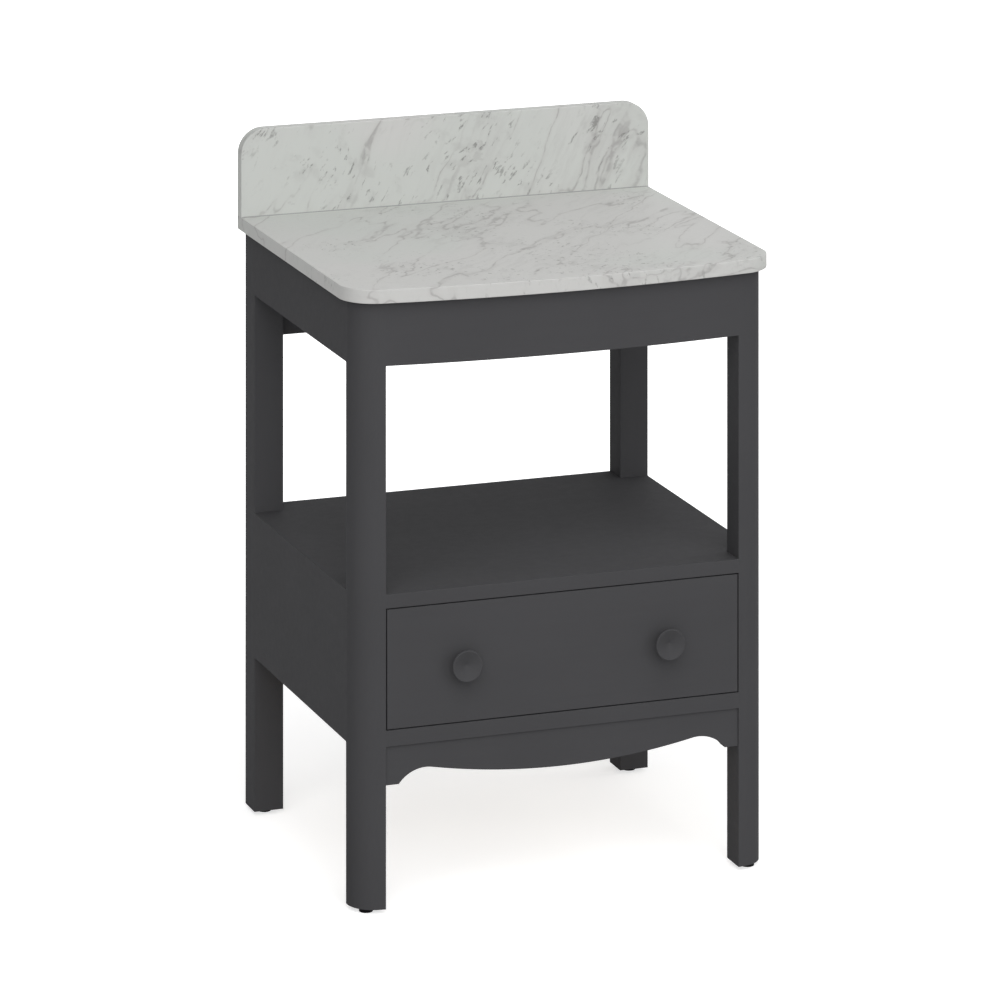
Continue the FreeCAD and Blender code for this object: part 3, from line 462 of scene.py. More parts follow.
def softened(bm, test, width=TIMBER_ARRIS, segments=3):
    """Rounds the picked edges to a quarter circle of this radius."""
    edges = [edge for edge in bm.edges if test(edge)]
    bmesh.ops.bevel(bm, geom=edges, offset=width, offset_type="OFFSET", segments=segments, profile=0.5,
                    affect="EDGES", clamp_overlap=True, material=-1)
    return bm


trial = softened(board((0, 0, 0), (0.4, 0.1, 0.02)), lies_on(2, 0.02))
print("a board with its top edges rounded has", len(trial.faces), "faces")
trial.free()

# %% [markdown]
# Weighted normals let each large flat face keep its own direction, so a rounded edge doesn't throw a false
# shade across the face next to it.

# %%
# Turning a mesh into a piece of the unit
def in_scene(name, data):
    """A new object, linked to the scene."""
    item = bpy.data.objects.new(name, data)
    bpy.context.scene.collection.objects.link(item)
    return item


def object_of(bm, name, material):
    """Turns a finished mesh into an object with one material."""
    mesh = bpy.data.meshes.new(name)
    bm.to_mesh(mesh)
    bm.free()
    mesh.materials.append(material)
    return in_scene(name, mesh)


def publish(bm, name, body, material, replaces=(), sharp_angle=42):
    """Makes a piece of the unit from a mesh, with smooth curves and sharp corners."""
    piece = object_of(bm, name, material)
    mesh = piece.data
    mesh.polygons.foreach_set("use_smooth", [True] * len(mesh.polygons))
    mesh.set_sharp_from_angle(angle=math.radians(sharp_angle))
    piece.modifiers.new("Weighted normals", "WEIGHTED_NORMAL").keep_sharp = True
    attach(piece, body)
    if replaces:
        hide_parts(*replaces)
    print(f"{name}: {len(mesh.polygons)} faces, rides on {body}")
    return piece


# %% [markdown]
# ## The stone pieces
#
# The slab has a bowed front with a rounded corner at each end. The corner's circle touches the side and the
# bow from inside. So its centre lies one corner radius in from the side, and the bow's radius less its own
# from the bow's centre. The circles touch on the line through both centres.

# %%
# A rounded front corner that joins a straight side to the bow
def front_corner(half_width, corner_radius, bow_radius):
    """The corner's centre, and the point where its circle touches the bow, on the right-hand side."""
    across = half_width - corner_radius
    reach = bow_radius - corner_radius
    drop = math.sqrt(reach ** 2 - across ** 2)
    centre = (across, BOW_CENTRE[1] - drop)
    touch = (across * bow_radius / reach, BOW_CENTRE[1] - drop * bow_radius / reach)
    return centre, touch


SLAB_RADIUS = BOW_CENTRE[1] - SLAB_LOW.y
corner, touch = front_corner(SLAB_HIGH.x, SLAB_CORNER, SLAB_RADIUS)
print("the slab's corner meets its bow", mm(SLAB_HIGH.x - touch[0]), "mm in from the side")

# %%
# The worktop
slab = drawn((0.0, SLAB_LOW.y), (touch, BOW_CENTRE, BOW_STEPS),
             ((SLAB_HIGH.x, corner[1]), corner, SLAB_CORNER_STEPS),
             (SLAB_HIGH.x, SLAB_HIGH.y), (0.0, SLAB_HIGH.y))
slab = prism(slab, SLAB_LOW.z, SLAB_HIGH.z, half=True)


def slab_arrises(edge):
    level = lies_on(2, SLAB_LOW.z)(edge) or lies_on(2, SLAB_HIGH.z)(edge)
    return level and not lies_on(1, SLAB_HIGH.y)(edge)


softened(slab, slab_arrises, STONE_ARRIS)
publish(slab, "worktop_slab", "carcass", STONE_SLAB, ["marble_worktop"])

# %% [markdown]
# The upstand is the same stone stood on edge. Its two top corners get a wide rounding first. Then an arris
# runs all the way round its face, except along the joint.

# %%
# The upstand
upstand = board(STAND_LOW, STAND_HIGH)


def top_corners(edge):
    return runs(edge, 1) and lies_on(2, STAND_HIGH.z)(edge)


def face_arris(edge):
    return lies_on(1, STAND_LOW.y)(edge) and not lies_on(2, STAND_LOW.z)(edge)


softened(upstand, top_corners, UPSTAND_CORNER, UPSTAND_CORNER_STEPS)
softened(upstand, face_arris, STONE_ARRIS)
publish(upstand, "upstand_slab", "carcass", STONE_UPSTAND, ["marble_upstand"])

# %% [markdown]
# ## Satin paint over timber
#
# A sprayed coat has a fine dimpled skin, called orange peel, and the grain of the timber shows through it
# very faintly. A board's grain runs along its length, so there are three versions of the paint, one for
# each direction.

# %%
# The paint, with the grain along a chosen axis
def satin_paint(name, grain):
    material, tree, here = new_material(name)
    tone = between(tree, noise(tree, here, 5.0, 3.0), 0.3, 0.7)
    colour = mixed(tree, tone, (0.0634, 0.0630, 0.0662), (0.0662, 0.0658, 0.0692))
    fibres = noise(tree, stretched(tree, here, grain), 60.0, 4.0, 0.6)
    colour = tinted(tree, colour, between(tree, fibres, 0.35, 0.65), 0.10, (0.0557, 0.0553, 0.0582))
    peel = noise(tree, here, 420.0)
    gloss = between(tree, noise(tree, here, 90.0, 3.0), 0.3, 0.7, 0.62, 0.68)
    gloss = maths(tree, "ADD", gloss, between(tree, peel, 0.3, 0.7, -0.02, 0.02))
    skin = relief(tree, peel, 0.30, 0.00006)
    normal = relief(tree, fibres, 0.25, 0.00010, skin)
    return surface(material, colour, gloss, normal, Specular_IOR_Level=0.02)


PAINT = {}
for axis, grain in {"x": (16, 1, 1), "y": (1, 16, 1), "z": (1, 1, 16)}.items():
    PAINT[axis] = satin_paint(f"Satin paint, grain along {axis}", grain)


def painted(bm, name, grain, node, body="carcass"):
    """Publishes a piece of painted timber."""
    publish(bm, name, body, PAINT[grain], [node])


# %% [markdown]
# ## The legs
#
# The front legs are square posts with the outer corner rounded to a wide radius, and their faces follow the
# bow. Where a rail or a shelf meets a leg, the joint was sanded flush before it was painted, so no line
# shows there. So the mesh of a leg is cut into lengths at the joints, and only the free lengths are rounded.
#
# A bevel that ends halfway along an edge pulls the next length of that edge a little inwards. One more cut,
# a hair before each joint, takes up that pull.

# %%
# Heights at which something meets the legs
FOOT_END = LEG_LOW.z
APRON_TOP = APRON_HIGH.z
RAIL_TOP = BOTTOM_RAIL_HIGH.z
BAY_TOP = SHELF_LOW.z
SHELF_TOP = SHELF_HIGH.z
RAIL_BOTTOM = RAIL_LOW.z
BACK_RAIL_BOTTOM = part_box("top_back_rail")[0].z
LEG_TOP = LEG_HIGH.z
JOINTS = [APRON_TOP, RAIL_TOP, BAY_TOP, SHELF_TOP, BACK_RAIL_BOTTOM, RAIL_BOTTOM]
HAIR = 0.0004
print("joints at", mm(*JOINTS), "mm above the floor")


# %%
# Cutting a leg into lengths and rounding the free ones
def cut_at(bm, heights):
    """Adds a ring of edges at each height."""
    for height in heights:
        everything = bm.verts[:] + bm.edges[:] + bm.faces[:]
        bmesh.ops.bisect_plane(bm, geom=everything, dist=WELD, plane_co=(0, 0, height), plane_no=(0, 0, 1))
    return bm


def upright(corner, spans):
    """Picks the vertical edges at a corner that lie within these spans of height."""
    def test(edge):
        if not runs(edge, 2):
            return False
        at_corner = all(abs(vert.co[axis] - corner[axis]) < NEAR for vert in edge.verts for axis in (0, 1))
        ends = sorted(vert.co.z for vert in edge.verts)
        inside = any(low - NEAR < ends[0] and ends[1] < high + NEAR for low, high in spans)
        return at_corner and inside
    return test


def free(low, high):
    """A free length of a leg, kept a hair short of the joints at its ends."""
    return (low + HAIR * (low > FOOT_END), high - HAIR * (high < LEG_TOP))


def leg_piece(end, side_name, bm, corners):
    """Rounds the free edges of a leg that was made for the right-hand side, and publishes it."""
    cuts = [height + shift for height in JOINTS for shift in (-HAIR, 0, HAIR)]
    leg = cut_at(prism(bm, FOOT_END, LEG_TOP), cuts)
    tests = [upright(corner, spans) for corner, spans in corners]
    softened(leg, lambda edge: any(test(edge) for test in tests))
    if side_name == "left":
        bmesh.ops.scale(leg, vec=(-1, 1, 1), verts=leg.verts)
        bmesh.ops.recalc_face_normals(leg, faces=leg.faces)
    label = f"{end}_{side_name}"
    painted(leg, f"{label}_post", "z", f"{label}_leg")


BELOW = free(FOOT_END, APRON_TOP)
print("free below the apron's top:", mm(*BELOW), "mm")

# %%
# The front legs
corner, touch = front_corner(OUTER, LEG_CORNER, BOW_RADIUS)
for side_name in SIDES:
    plan = drawn((INNER, LEG_BACK), (OUTER, LEG_BACK), (OUTER, corner[1]), (touch, corner, LEG_CORNER_STEPS),
                 ((INNER, FRONT), BOW_CENTRE, LEG_FACE_STEPS))
    leg_piece("front", side_name, plan, [
        ((INNER, LEG_BACK), [BELOW, free(SHELF_TOP, LEG_TOP)]),
        ((OUTER, LEG_BACK), [BELOW, free(SHELF_TOP, RAIL_BOTTOM)]),
        ((INNER, FRONT), [BELOW, free(RAIL_TOP, BAY_TOP), free(SHELF_TOP, RAIL_BOTTOM)]),
    ])

# %% [markdown]
# The rear legs are plain square posts.

# %%
# The rear legs
for side_name in SIDES:
    plan = drawn((INNER, REAR_LEG_FRONT), (OUTER, REAR_LEG_FRONT), (OUTER, REAR), (INNER, REAR))
    leg_piece("rear", side_name, plan, [
        ((INNER, REAR_LEG_FRONT), [BELOW, free(SHELF_TOP, LEG_TOP)]),
        ((OUTER, REAR_LEG_FRONT), [BELOW, free(SHELF_TOP, RAIL_BOTTOM)]),
        ((INNER, REAR), [BELOW, free(SHELF_TOP, BACK_RAIL_BOTTOM)]),
        ((OUTER, REAR), [(FOOT_END, LEG_TOP)]),
    ])

# %% [markdown]
# ## The rails
#
# The top front rail is bowed, with a parallel inner face. Only its bottom edges are rounded, because the
# stone covers the top. The side rails, and the panels that close the sides of the drawer bay, are straight
# boards between the legs.

# %%
# The bowed top rail
inside = BOW_RADIUS - RAIL_THICKNESS
inside_y = BOW_CENTRE[1] - math.sqrt(inside ** 2 - INNER ** 2)
front_rail = drawn((0.0, RAIL_LOW.y), ((INNER, FRONT), BOW_CENTRE, BOW_STEPS), (INNER, inside_y),
                   ((0.0, RAIL_LOW.y + RAIL_THICKNESS), BOW_CENTRE, BOW_STEPS))
front_rail = prism(front_rail, RAIL_LOW.z, RAIL_HIGH.z, half=True)
softened(front_rail, lambda edge: lies_on(2, RAIL_LOW.z)(edge) and runs(edge, 0))
painted(front_rail, "bowed_top_rail", "x", "top_front_rail")

# %%
# The side rails and the side panels
for side_name in SIDES:
    for node, label in ((f"top_{side_name}_rail", "top_rail"), (f"{side_name}_side_panel", "bay_side")):
        low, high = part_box(node)
        top = BAY_TOP if label == "bay_side" else high.z
        solid = board((low.x, LEG_BACK, low.z), (high.x, REAR_LEG_FRONT, top))
        softened(solid, lambda edge: lies_on(2, low.z)(edge) and runs(edge, 1))
        painted(solid, f"{side_name}_{label}", "y", node)

# %% [markdown]
# ## The shelf
#
# The shelf board is cut round the four legs, flush with their faces, and lies over the drawer bay.

# %%
# The shelf board
shelf = drawn((0.0, FRONT), (INNER, FRONT), (INNER, LEG_BACK), (OUTER, LEG_BACK), (OUTER, REAR_LEG_FRONT),
              (INNER, REAR_LEG_FRONT), (INNER, REAR), (0.0, REAR))
shelf = prism(shelf, SHELF_LOW.z, SHELF_HIGH.z, half=True)


def shelf_edges(edge):
    top = lies_on(2, SHELF_HIGH.z)(edge)
    outside = [lies_on(1, FRONT), lies_on(1, REAR), lies_on(0, OUTER), lies_on(0, -OUTER)]
    nosing = lies_on(2, SHELF_LOW.z)(edge) and lies_on(1, FRONT)(edge)
    return nosing or (top and any(test(edge) for test in outside))


softened(shelf, shelf_edges)
painted(shelf, "open_shelf", "x", "shelf_board")

# %% [markdown]
# ## Below the drawer
#
# A narrow rail closes the bay under the drawer. Below it hangs the apron, set back a little, with the lower
# edge cut to a long shallow belly that runs into a small cove and a flat at each end.
#
# Three circles draw that edge. The belly's circle has its centre on the middle line and touches both cove
# circles. Where two circles touch, the line between their centres is divided in the ratio of the radii.

# %%
# The rail under the drawer
low = (-INNER, BOTTOM_RAIL_LOW.y, BOTTOM_RAIL_LOW.z)
bottom_rail = board(low, (INNER, BOTTOM_RAIL_HIGH.y, BOTTOM_RAIL_HIGH.z))
softened(bottom_rail, lambda edge: lies_on(1, low[1])(edge) and runs(edge, 0))
painted(bottom_rail, "drawer_rail", "x", "bottom_front_rail")

# %%
# The circles of the apron's lower edge
APRON_FLAT = 0.020
COVE_RADIUS = 0.051
COVE_RISE = 0.020
COVE_STEPS = 32

cove_end = INNER - APRON_FLAT
cove_x = cove_end - math.sqrt(COVE_RISE * (COVE_RADIUS * 2 - COVE_RISE))
cove = (cove_x, APRON_LOW.z + COVE_RISE - COVE_RADIUS)
belly_radius = (cove_x ** 2 + COVE_RISE ** 2) / (COVE_RISE * 2) - COVE_RADIUS
belly = (0.0, APRON_LOW.z + belly_radius)
share = COVE_RADIUS / (belly_radius + COVE_RADIUS)
touch = (cove[0] * (1 - share), cove[1] + (belly[1] - cove[1]) * share)
print("belly radius, and x where it touches the cove:", mm(belly_radius, touch[0]), "mm")

# %%
# The apron
apron = drawn((0.0, APRON_LOW.z), (touch, belly, BOW_STEPS), ((cove_end, APRON_LOW.z), cove, COVE_STEPS),
              (INNER, APRON_LOW.z), (INNER, APRON_HIGH.z), (0.0, APRON_HIGH.z))
apron = prism(apron, APRON_LOW.y, APRON_HIGH.y, "y", half=True)


def apron_edges(edge):
    face = lies_on(1, APRON_LOW.y)(edge) or lies_on(1, APRON_HIGH.y)(edge)
    side_or_top = lies_on(2, APRON_HIGH.z)(edge) or lies_on(0, INNER)(edge) or lies_on(0, -INNER)(edge)
    return face and not side_or_top


softened(apron, apron_edges)
painted(apron, "shaped_apron", "x", "scalloped_apron")

# %% [markdown]
# ## The drawer front and its knobs
#
# The drawer front sits inside the frame with a gap of about 1.5 mm all round. The two knobs are turned wood:
# a small base, a narrow neck, a hollow flare out to a thin rim, and a conical dish in the face.
#
# Turned parts start as half a profile that spins about its axis, as wood does on a lathe. It runs from one
# point on the axis to another, so that the spin closes the solid.

# %%
# The drawer front
drawer = board(DRAWER_LOW, DRAWER_HIGH)
softened(drawer, lambda edge: not runs(edge, 1))
painted(drawer, "drawer_panel", "x", "drawer_front", "drawer")


# %%
# Turning a profile
def turned(bm, steps=96):
    """Spins a drawn profile about the y axis."""
    bmesh.ops.spin(bm, geom=bm.verts[:] + bm.edges[:], cent=(0, 0, 0), axis=(0, 1, 0), angle=math.tau,
                   steps=steps, use_merge=True)
    bmesh.ops.remove_doubles(bm, verts=bm.verts, dist=WELD)
    bmesh.ops.recalc_face_normals(bm, faces=bm.faces)
    return bm


trial = turned(drawn((0.0, 0.0), (0.01, 0.0), (0.01, 0.02), (0.0, 0.02)))
print("a peg 20 mm thick and 20 mm long holds", round(trial.calc_volume() * 1e9), "cubic millimetres")
trial.free()

# %%
# The sizes of a knob: radii, and distances from the drawer front
KNOB_RIM = 0.0225
KNOB_DEPTH = 0.024
RIM_BACK = 0.021
RIM_ROUND = 0.0016
KNOB_DISH = 0.009
BASE = 0.011
BASE_TOP = 0.0015
BASE_EASE = 0.0002
NECK = 0.008
NECK_TOP = 0.005
FLARE = 0.024
SOCKET = 0.0021
SOCKET_DEPTH = 0.0122
FLARE_STEPS = 28
RIM_STEPS = 8
DISH_CUTS = 11

run, climb = KNOB_RIM - NECK, RIM_BACK - NECK_TOP
chord = math.hypot(run, climb)
reach = math.sqrt(FLARE ** 2 - chord ** 2 / 4)
middle = ((KNOB_RIM + NECK) / 2, (RIM_BACK + NECK_TOP) / 2)
flare_centre = (middle[0] + climb * reach / chord, middle[1] - run * reach / chord)
print("the flare's circle is centred", mm(*flare_centre), "mm off the axis and out")


# %%
# The knobs
def knob_profile():
    rim = (KNOB_RIM - RIM_ROUND, KNOB_DEPTH - RIM_ROUND)
    bm = drawn((0.0, SOCKET_DEPTH), (SOCKET, SOCKET_DEPTH), (SOCKET, 0.0), (BASE - BASE_EASE, 0.0),
               (BASE, BASE_EASE), (BASE, BASE_TOP - BASE_EASE), (BASE - BASE_EASE, BASE_TOP),
               (NECK, NECK_TOP), ((KNOB_RIM, RIM_BACK), flare_centre, FLARE_STEPS), (KNOB_RIM, rim[1]),
               ((rim[0], KNOB_DEPTH), rim, RIM_STEPS), (0.0, KNOB_DEPTH - KNOB_DISH))
    bm.verts.ensure_lookup_table()
    bmesh.ops.subdivide_edges(bm, edges=bm.verts[-1].link_edges[:], cuts=DISH_CUTS)
    return bm


for side_name in SIDES:
    node = f"{side_name}_knob"
    low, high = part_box(node)
    knob = turned(knob_profile())
    to_place = Matrix.Translation(((low.x + high.x) / 2, high.y, (low.z + high.z) / 2))
    bmesh.ops.transform(knob, matrix=to_place @ Matrix.Rotation(math.pi, 4, "Z"), verts=knob.verts)
    painted(knob, f"{side_name}_turned_knob", "z", node, "drawer")

# %% [markdown]
# ## The other materials
#
# The rest is inside or underneath, and is seen when the drawer is open or the unit is turned over. It keeps
# its CAD shape and gets its own procedural material.
#
# Plywood is a stack of veneers, so its colour depends on the depth across the sheet: a face shows one
# veneer, and an edge shows the whole stack as stripes.

# %%
# Birch plywood, with the sheet's thickness along a chosen axis
VENEER = 0.0028


def plywood(name, thickness_axis, grain):
    material, tree, here = new_material(name)
    parts = add(tree, "ShaderNodeSeparateXYZ", {"Vector": here})
    depth = parts.outputs[thickness_axis]
    veneers = maths(tree, "FRACT", product(tree, depth, 1 / VENEER))
    glue_line = vein(tree, veneers, 0.05)
    cross_ply = between(tree, veneers, 0.48, 0.52)
    fibres = noise(tree, stretched(tree, here, grain), 90.0, 5.0, 0.6)
    figure = noise(tree, stretched(tree, here, grain), 16.0, 3.0, 0.5, 0.6)
    colour = mixed(tree, fibres, (0.62, 0.46, 0.28), (0.74, 0.58, 0.39))
    colour = tinted(tree, colour, between(tree, figure, 0.42, 0.62), 0.35, (0.57, 0.40, 0.23))
    colour = tinted(tree, colour, cross_ply, 0.22, (0.45, 0.29, 0.15))
    colour = tinted(tree, colour, glue_line, 0.5, (0.16, 0.09, 0.05))
    gloss = between(tree, fibres, 0.3, 0.7, 0.38, 0.52)
    return surface(material, colour, gloss, relief(tree, fibres, 0.35, 0.00012), Specular_IOR_Level=0.35)


PLY = {}
for axis, grain in {"x": (1, 20, 1), "y": (20, 1, 1), "z": (20, 1, 1)}.items():
    PLY[axis] = plywood(f"Birch plywood, sheet across {axis}", "xyz".index(axis), grain)

# %% [markdown]
# Softwood shows growth rings. A wave of rings about an axis along the board, disturbed a little, gives that
# figure on every face at once.

# %%
# Planed softwood
def softwood(name, direction, grain):
    material, tree, here = new_material(name)
    heart = stretched(tree, here, (1, 1, 1), shift=(0.05, 0.13, 0.03))
    inputs = {"Vector": heart, "Scale": 42.0, "Distortion": 2.5, "Detail": 2.0, "Detail Scale": 0.6}
    rings = add(tree, "ShaderNodeTexWave", inputs, wave_type="RINGS", rings_direction=direction,
                wave_profile="SAW").outputs["Fac"]
    fibres = noise(tree, stretched(tree, here, grain), 140.0, 4.0, 0.6)
    colour = mixed(tree, between(tree, rings, 0.35, 1.0), (0.66, 0.48, 0.29), (0.44, 0.26, 0.12))
    colour = tinted(tree, colour, between(tree, fibres, 0.4, 0.7), 0.30, (0.50, 0.33, 0.18))
    gloss = between(tree, fibres, 0.3, 0.7, 0.60, 0.74)
    return surface(material, colour, gloss, relief(tree, fibres, 0.4, 0.0002), Specular_IOR_Level=0.25)


SOFTWOOD = {
    "x": softwood("Softwood along x", "X", (20, 1, 1)),
    "y": softwood("Softwood along y", "Y", (1, 20, 1)),
}

# %% [markdown]
# Metals differ in how they were worked. Rolled strip has fine lines along its length, zinc plate has cloudy
# spangle, bearing balls are polished, and turned brass has rings left by the tool.

# %%
# Metals
def worked_metal(name, colour, other, gloss, line_stretch, cloud_scale, depth):
    material, tree, here = new_material(name)
    lines = noise(tree, stretched(tree, here, line_stretch), 500.0, 3.0)
    clouds = noise(tree, here, cloud_scale, 4.0, 0.6)
    tint = mixed(tree, between(tree, clouds, 0.35, 0.65), colour, other)
    worn = between(tree, clouds, 0.3, 0.7, *gloss)
    rough = maths(tree, "ADD", worn, between(tree, lines, 0.3, 0.7, -0.03, 0.03))
    return surface(material, tint, rough, relief(tree, lines, 0.3, depth), Metallic=1.0)


ZINC = worked_metal("Zinc plated steel", (0.41, 0.42, 0.44), (0.46, 0.47, 0.475), (0.34, 0.41),
                    (1, 30, 1), 60.0, 0.00001)
CAGE = worked_metal("Pressed cage steel", (0.42, 0.43, 0.45), (0.36, 0.37, 0.38), (0.34, 0.50),
                    (1, 20, 1), 160.0, 0.00003)
BALL = worked_metal("Polished bearing steel", (0.75, 0.75, 0.77), (0.72, 0.72, 0.74), (0.05, 0.10),
                    (1, 1, 1), 300.0, 0.000004)
BRASS = worked_metal("Turned brass", (0.62, 0.46, 0.20), (0.55, 0.39, 0.16), (0.24, 0.36),
                     (50, 50, 1), 200.0, 0.00004)

# %% [markdown]
# The glides under the legs are moulded black plastic with a spark-eroded texture.

# %%
# Moulded plastic
def moulded_plastic(name):
    material, tree, here = new_material(name)
    spark = noise(tree, here, 1600.0, 2.0, 0.6)
    scuffs = between(tree, noise(tree, stretched(tree, here, (1, 5, 1)), 220.0, 4.0), 0.58, 0.72)
    colour = mixed(tree, scuffs, (0.004, 0.004, 0.0045), (0.010, 0.010, 0.011))
    gloss = maths(tree, "ADD", between(tree, spark, 0.3, 0.7, 0.48, 0.60), product(tree, scuffs, 0.12))
    return surface(material, colour, gloss, relief(tree, spark, 0.5, 0.00004), Specular_IOR_Level=0.05)


PLASTIC = moulded_plastic("Moulded glide plastic")

# %% [markdown]
# ## The feet
#
# Each foot is a round glide on a threaded stud that screws into an insert in the leg, so its thread shows
# when the foot is wound out.

# %%
# The profile of a foot
GLIDE_EASE = 0.001
GLIDE_EDGE = 0.0004
STUD = 0.0038
THREAD_PITCH = 0.00125
THREAD_DEPTH = 0.0004
CREST_SHARES = (0.4, 0.6)
PLAIN_END = 0.001
STUD_TIP = 0.0005
TIP_EASE = 0.0003
GLIDE_STEPS = 5
EDGE_STEPS = 3


def foot_profile(radius, glide_top, stud_top):
    sole = (radius - GLIDE_EASE, GLIDE_EASE)
    edge = (radius - GLIDE_EDGE, glide_top - GLIDE_EDGE)
    moves = [(sole[0], 0.0), ((radius, sole[1]), sole, GLIDE_STEPS)]
    moves += [(radius, edge[1]), ((edge[0], glide_top), edge, EDGE_STEPS)]
    height = glide_top
    root = STUD - THREAD_DEPTH
    while height + THREAD_PITCH < stud_top - PLAIN_END:
        moves += [(root, height)] + [(STUD, height + THREAD_PITCH * share) for share in CREST_SHARES]
        height += THREAD_PITCH
    moves += [(root, height), (root, stud_top - TIP_EASE), (root - STUD_TIP, stud_top), (0.0, stud_top)]
    print("foot profile:", len(moves), "moves")
    return drawn((0.0, 0.0), *moves)


# %%
# The feet
for end in ("front", "rear"):
    for side_name in SIDES:
        node = f"{end}_{side_name}_foot"
        low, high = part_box(node)
        foot = turned(foot_profile((high.x - low.x) / 2, FOOT_END, high.z), steps=64)
        to_place = Matrix.Translation(((low.x + high.x) / 2, (low.y + high.y) / 2, low.z))
        bmesh.ops.transform(foot, matrix=to_place @ Matrix.Rotation(math.pi / 2, 4, "X"), verts=foot.verts)
        publish(foot, f"{node}_glide", node, PLASTIC, [node], sharp_angle=30)

# %% [markdown]
# ## Materials for the CAD pieces
#
# Each remaining CAD piece keeps its mesh, and gets a material by its finish and by the way its grain lies.

# %%
# Assigning materials to the CAD pieces that stay
CAD_FINISH = {
    "top_back_rail": PAINT["x"], "back_panel": PAINT["x"],
    "bay_floor": PLY["z"], "drawer_bottom": PLY["z"],
    "drawer_box_front": PLY["y"], "drawer_back": PLY["y"],
    "drawer_left_side": PLY["x"], "drawer_right_side": PLY["x"],
    "apron_glue_blocks": SOFTWOOD["x"], "threaded_inserts": BRASS,
}
for side_name in SIDES:
    CAD_FINISH[f"{side_name}_worktop_cleat"] = SOFTWOOD["y"]
    CAD_FINISH[f"{side_name}_runner_packer"] = SOFTWOOD["y"]
    for member in ("cabinet", "middle", "drawer"):
        CAD_FINISH[f"{side_name}_runner_{member}_member"] = ZINC
    for row in ("outer", "inner"):
        CAD_FINISH[f"{side_name}_{row}_ball_cage"] = CAGE
        CAD_FINISH[f"{side_name}_{row}_balls"] = BALL
for kind in ("cleat", "cabinet_runner", "drawer_runner", "drawer_front", "knob"):
    CAD_FINISH[f"{kind}_screws"] = ZINC

for node, finish in CAD_FINISH.items():
    for slot in NODES[node].material_slots:
        slot.material = finish
print("CAD pieces with a new material:", len(CAD_FINISH))

# %% [markdown]
# ## The joint in the stone
#
# The upstand is bedded on the slab in a thin bead of grey silicone, which shows as a fine dark line. It is a
# strip with a hollow face, as a wetted finger leaves it.

# %%
# The silicone bead
def silicone(name):
    material, tree, here = new_material(name)
    smears = noise(tree, stretched(tree, here, (5, 1, 1)), 160.0, 3.0)
    colour = mixed(tree, smears, (0.23, 0.235, 0.228), (0.29, 0.295, 0.287))
    gloss = between(tree, smears, 0.3, 0.7, 0.35, 0.48)
    return surface(material, colour, gloss, relief(tree, smears, 0.3, 0.00005))


BEAD = 0.0011
INTO_JOINT = 0.0002
BEAD_END = 0.0012
BEAD_STEPS = 8

hollow = (STAND_LOW.y - BEAD, STAND_LOW.z + BEAD)
bead = drawn((STAND_LOW.y + INTO_JOINT, STAND_LOW.z - INTO_JOINT), (STAND_LOW.y, hollow[1]),
             ((hollow[0], STAND_LOW.z), hollow, BEAD_STEPS))
bead = prism(bead, -STAND_HIGH.x + BEAD_END, STAND_HIGH.x - BEAD_END, "x")
publish(bead, "silicone_bead", "carcass", silicone("Grey silicone"))

# %% [markdown]
# ## Floor and background
#
# The photograph's background is pure white, with no horizon. The floor is a matt sheet that also glows, to
# just past white, and the stand's shadow still darkens it. Only camera, glossy and transmission rays see the
# glow, so it doesn't light the stand. Far out, where the lamps fade, it rises, and the floor runs into the
# white room with no line.

# %%
# The floor
FADE_FROM = 0.5
FADE_TO = 2.5
GLOW_NEAR = 0.62
GLOW_FAR = 1.0


def seen_by_camera(tree):
    """1 for what the camera sees directly, in a reflection or through glass."""
    path = add(tree, "ShaderNodeLightPath").outputs
    seen = maths(tree, "MAXIMUM", path["Is Camera Ray"], path["Is Glossy Ray"])
    return maths(tree, "MAXIMUM", seen, path["Is Transmission Ray"])


def floor_material():
    material, tree, here = new_material("Studio floor")
    tone = mixed(tree, noise(tree, here, 2.0, 2.0), (0.60, 0.60, 0.60), (0.61, 0.61, 0.61))
    matt = add(tree, "ShaderNodeBsdfDiffuse", {"Color": tone, "Roughness": 0.5}).outputs[0]
    away = add(tree, "ShaderNodeVectorMath", {0: here}, operation="LENGTH").outputs["Value"]
    level = between(tree, away, FADE_FROM, FADE_TO, GLOW_NEAR, GLOW_FAR)
    glow = add(tree, "ShaderNodeEmission", {"Color": (1, 1, 1, 1), "Strength": level}).outputs[0]
    nothing = add(tree, "ShaderNodeEmission", {"Color": (0, 0, 0, 1), "Strength": 0.0}).outputs[0]
    shown = add(tree, "ShaderNodeMixShader", {0: seen_by_camera(tree), 1: nothing, 2: glow}).outputs[0]
    whole = add(tree, "ShaderNodeAddShader", {0: matt, 1: shown}).outputs[0]
    add(tree, "ShaderNodeOutputMaterial", {"Surface": whole})
    return material


def floor_sheet(size):
    bm = bmesh.new()
    bmesh.ops.create_grid(bm, x_segments=8, y_segments=8, size=size / 2)
    object_of(bm, "studio_floor", floor_material())
    print("floor:", size, "m square")


floor_sheet(size=40.0)

# %% [markdown]
# ## Light
#
# The stand is lit as in a product studio: a pale room all round, and large soft panels. The key light, high
# in front, casts the soft shadows under the knobs and the stone. The others light the top, the left side,
# the shelf under the worktop, the inner faces of the left legs and the back.
#
# The panels stand 12 m away, because the photograph shows no fading from the front legs to the rear ones.
# The levels are set so that a colour renders about as it is written: an upright face in front gets an
# irradiance of pi. The panels are hidden from camera rays.

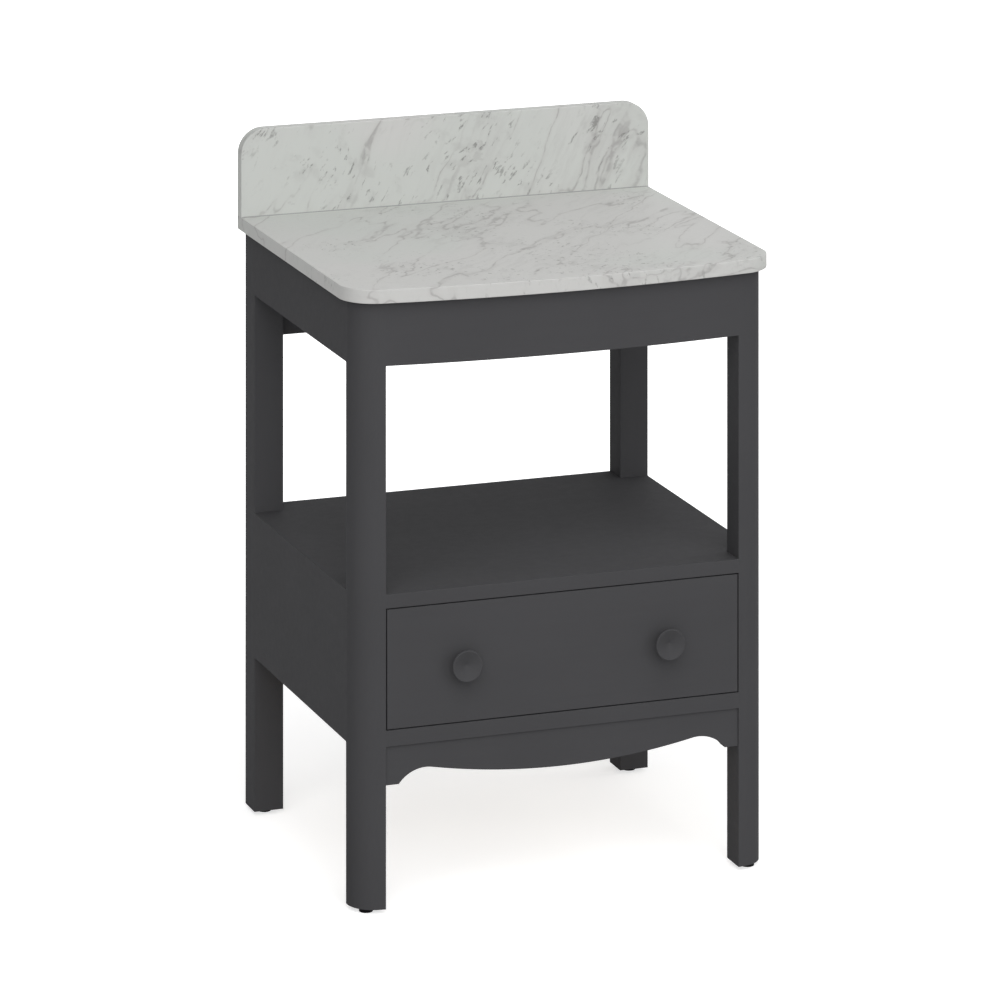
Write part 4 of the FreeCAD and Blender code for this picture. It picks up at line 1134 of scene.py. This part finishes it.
# %%
# The room
def studio_world(level):
    world = bpy.data.worlds.new("Studio room")
    bpy.context.scene.world = world
    world.use_nodes = True
    tree = world.node_tree
    tree.nodes.clear()
    room = add(tree, "ShaderNodeBackground", {"Color": (1, 1, 1, 1), "Strength": level}).outputs[0]
    white = add(tree, "ShaderNodeBackground", {"Color": (1, 1, 1, 1), "Strength": 1.0}).outputs[0]
    both = add(tree, "ShaderNodeMixShader", {0: seen_by_camera(tree), 1: room, 2: white}).outputs[0]
    add(tree, "ShaderNodeOutputWorld", {"Surface": both})
    print("room level:", level)


studio_world(level=0.32)

# %%
# The lamps, each given by its direction from the stand in degrees
LAMP_TARGET = Vector((0.0, 0.0, 0.5))
LAMP_DISTANCE = 12.0
LAMP_SIZE = 6.4


def soft_light(name, right_of_front, above, power):
    """A square panel that faces the middle of the stand."""
    around, height = math.radians(right_of_front), math.radians(above)
    level = math.cos(height)
    towards = Vector((math.sin(around) * level, -math.cos(around) * level, math.sin(height)))
    lamp = bpy.data.lights.new(name, "AREA")
    lamp.shape = "SQUARE"
    lamp.size = LAMP_SIZE
    lamp.energy = power
    panel = in_scene(name, lamp)
    panel.visible_camera = False
    panel.location = LAMP_TARGET + towards * LAMP_DISTANCE
    panel.rotation_euler = (-towards).to_track_quat("-Z", "Y").to_euler()
    print(f"{name}: {power} W at", [round(value, 1) for value in panel.location], "m")


soft_light("Key light", 0, 42, 226.0)
soft_light("Overhead light", 0, 70, 250.0)
soft_light("Left light", -40, 40, 262.0)
soft_light("Low left light", -15, 15, 352.0)
soft_light("Low right light", 25, 15, 200.0)
soft_light("Right light", 95, 32, 310.0)
soft_light("Right rear light", 130, 25, 172.0)

# %% [markdown]
# ## The camera
#
# The photograph's upright edges are parallel, although it looks down on the stand. That is how a view
# camera works: its film stays upright and its lens slides down, here by more than one whole frame. The same
# picture is made another way. The camera looks straight at the stand, and its parent, an empty, is scaled a
# little differently along two slanting axes, which shears the camera's up direction back to the vertical.
#
# Place, heading and focal length were fitted to the stand's straight edges in the photograph, to about one
# pixel.

# %%
# The fitted camera
HEADING = math.radians(19.891006)
FOCAL_PIXELS = 5874.777
CAMERA_PLACE = Vector((-2.930818, -8.086292, 2.780825))
HORIZON_ROW = -1059.052
FRAME_PIXELS = 1005
SENSOR_WIDTH = 36.0

pitch = math.atan((FRAME_PIXELS / 2 - HORIZON_ROW) / FOCAL_PIXELS)
lens = FOCAL_PIXELS / math.cos(pitch) / FRAME_PIXELS * SENSOR_WIDTH
print("camera looks down", round(math.degrees(pitch), 2), "degrees, lens", round(lens, 1), "mm")

# %%
# The camera and the empty that shears it
right = Vector((math.cos(HEADING), -math.sin(HEADING), 0.0))
up = Vector((0.0, 0.0, 1.0))
level = math.cos(pitch)
back = Vector((-level * math.sin(HEADING), -level * math.cos(HEADING), math.sin(pitch)))
first = (up + back).normalized()
second = (up - back).normalized()
spread = math.sin(pitch)

holder = in_scene("camera_holder", None)
axes = Matrix((right, first, -second)).transposed().to_4x4()
sizes = Matrix.Diagonal((1.0, math.sqrt(1 + spread), math.sqrt(1 - spread), 1.0))
holder.matrix_world = Matrix.Translation(CAMERA_PLACE) @ axes @ sizes

camera_data = bpy.data.cameras.new("camera")
camera_data.lens = lens
camera_data.sensor_width = SENSOR_WIDTH
camera_data.clip_start = 0.5
camera_data.clip_end = 100.0
camera = in_scene("camera", camera_data)
camera.parent = holder
camera.rotation_euler = (-math.pi / 4, 0.0, 0.0)
bpy.context.scene.camera = camera
bpy.context.view_layer.update()
columns = camera.matrix_world.to_3x3().col
for label, column in zip(("right", "up", "back"), columns):
    print("camera", label, "axis", [round(value, 4) for value in column])

# %%
# Plain colour output
bpy.context.scene.view_settings.view_transform = "Standard"
print("view transform:", bpy.context.scene.view_settings.view_transform)
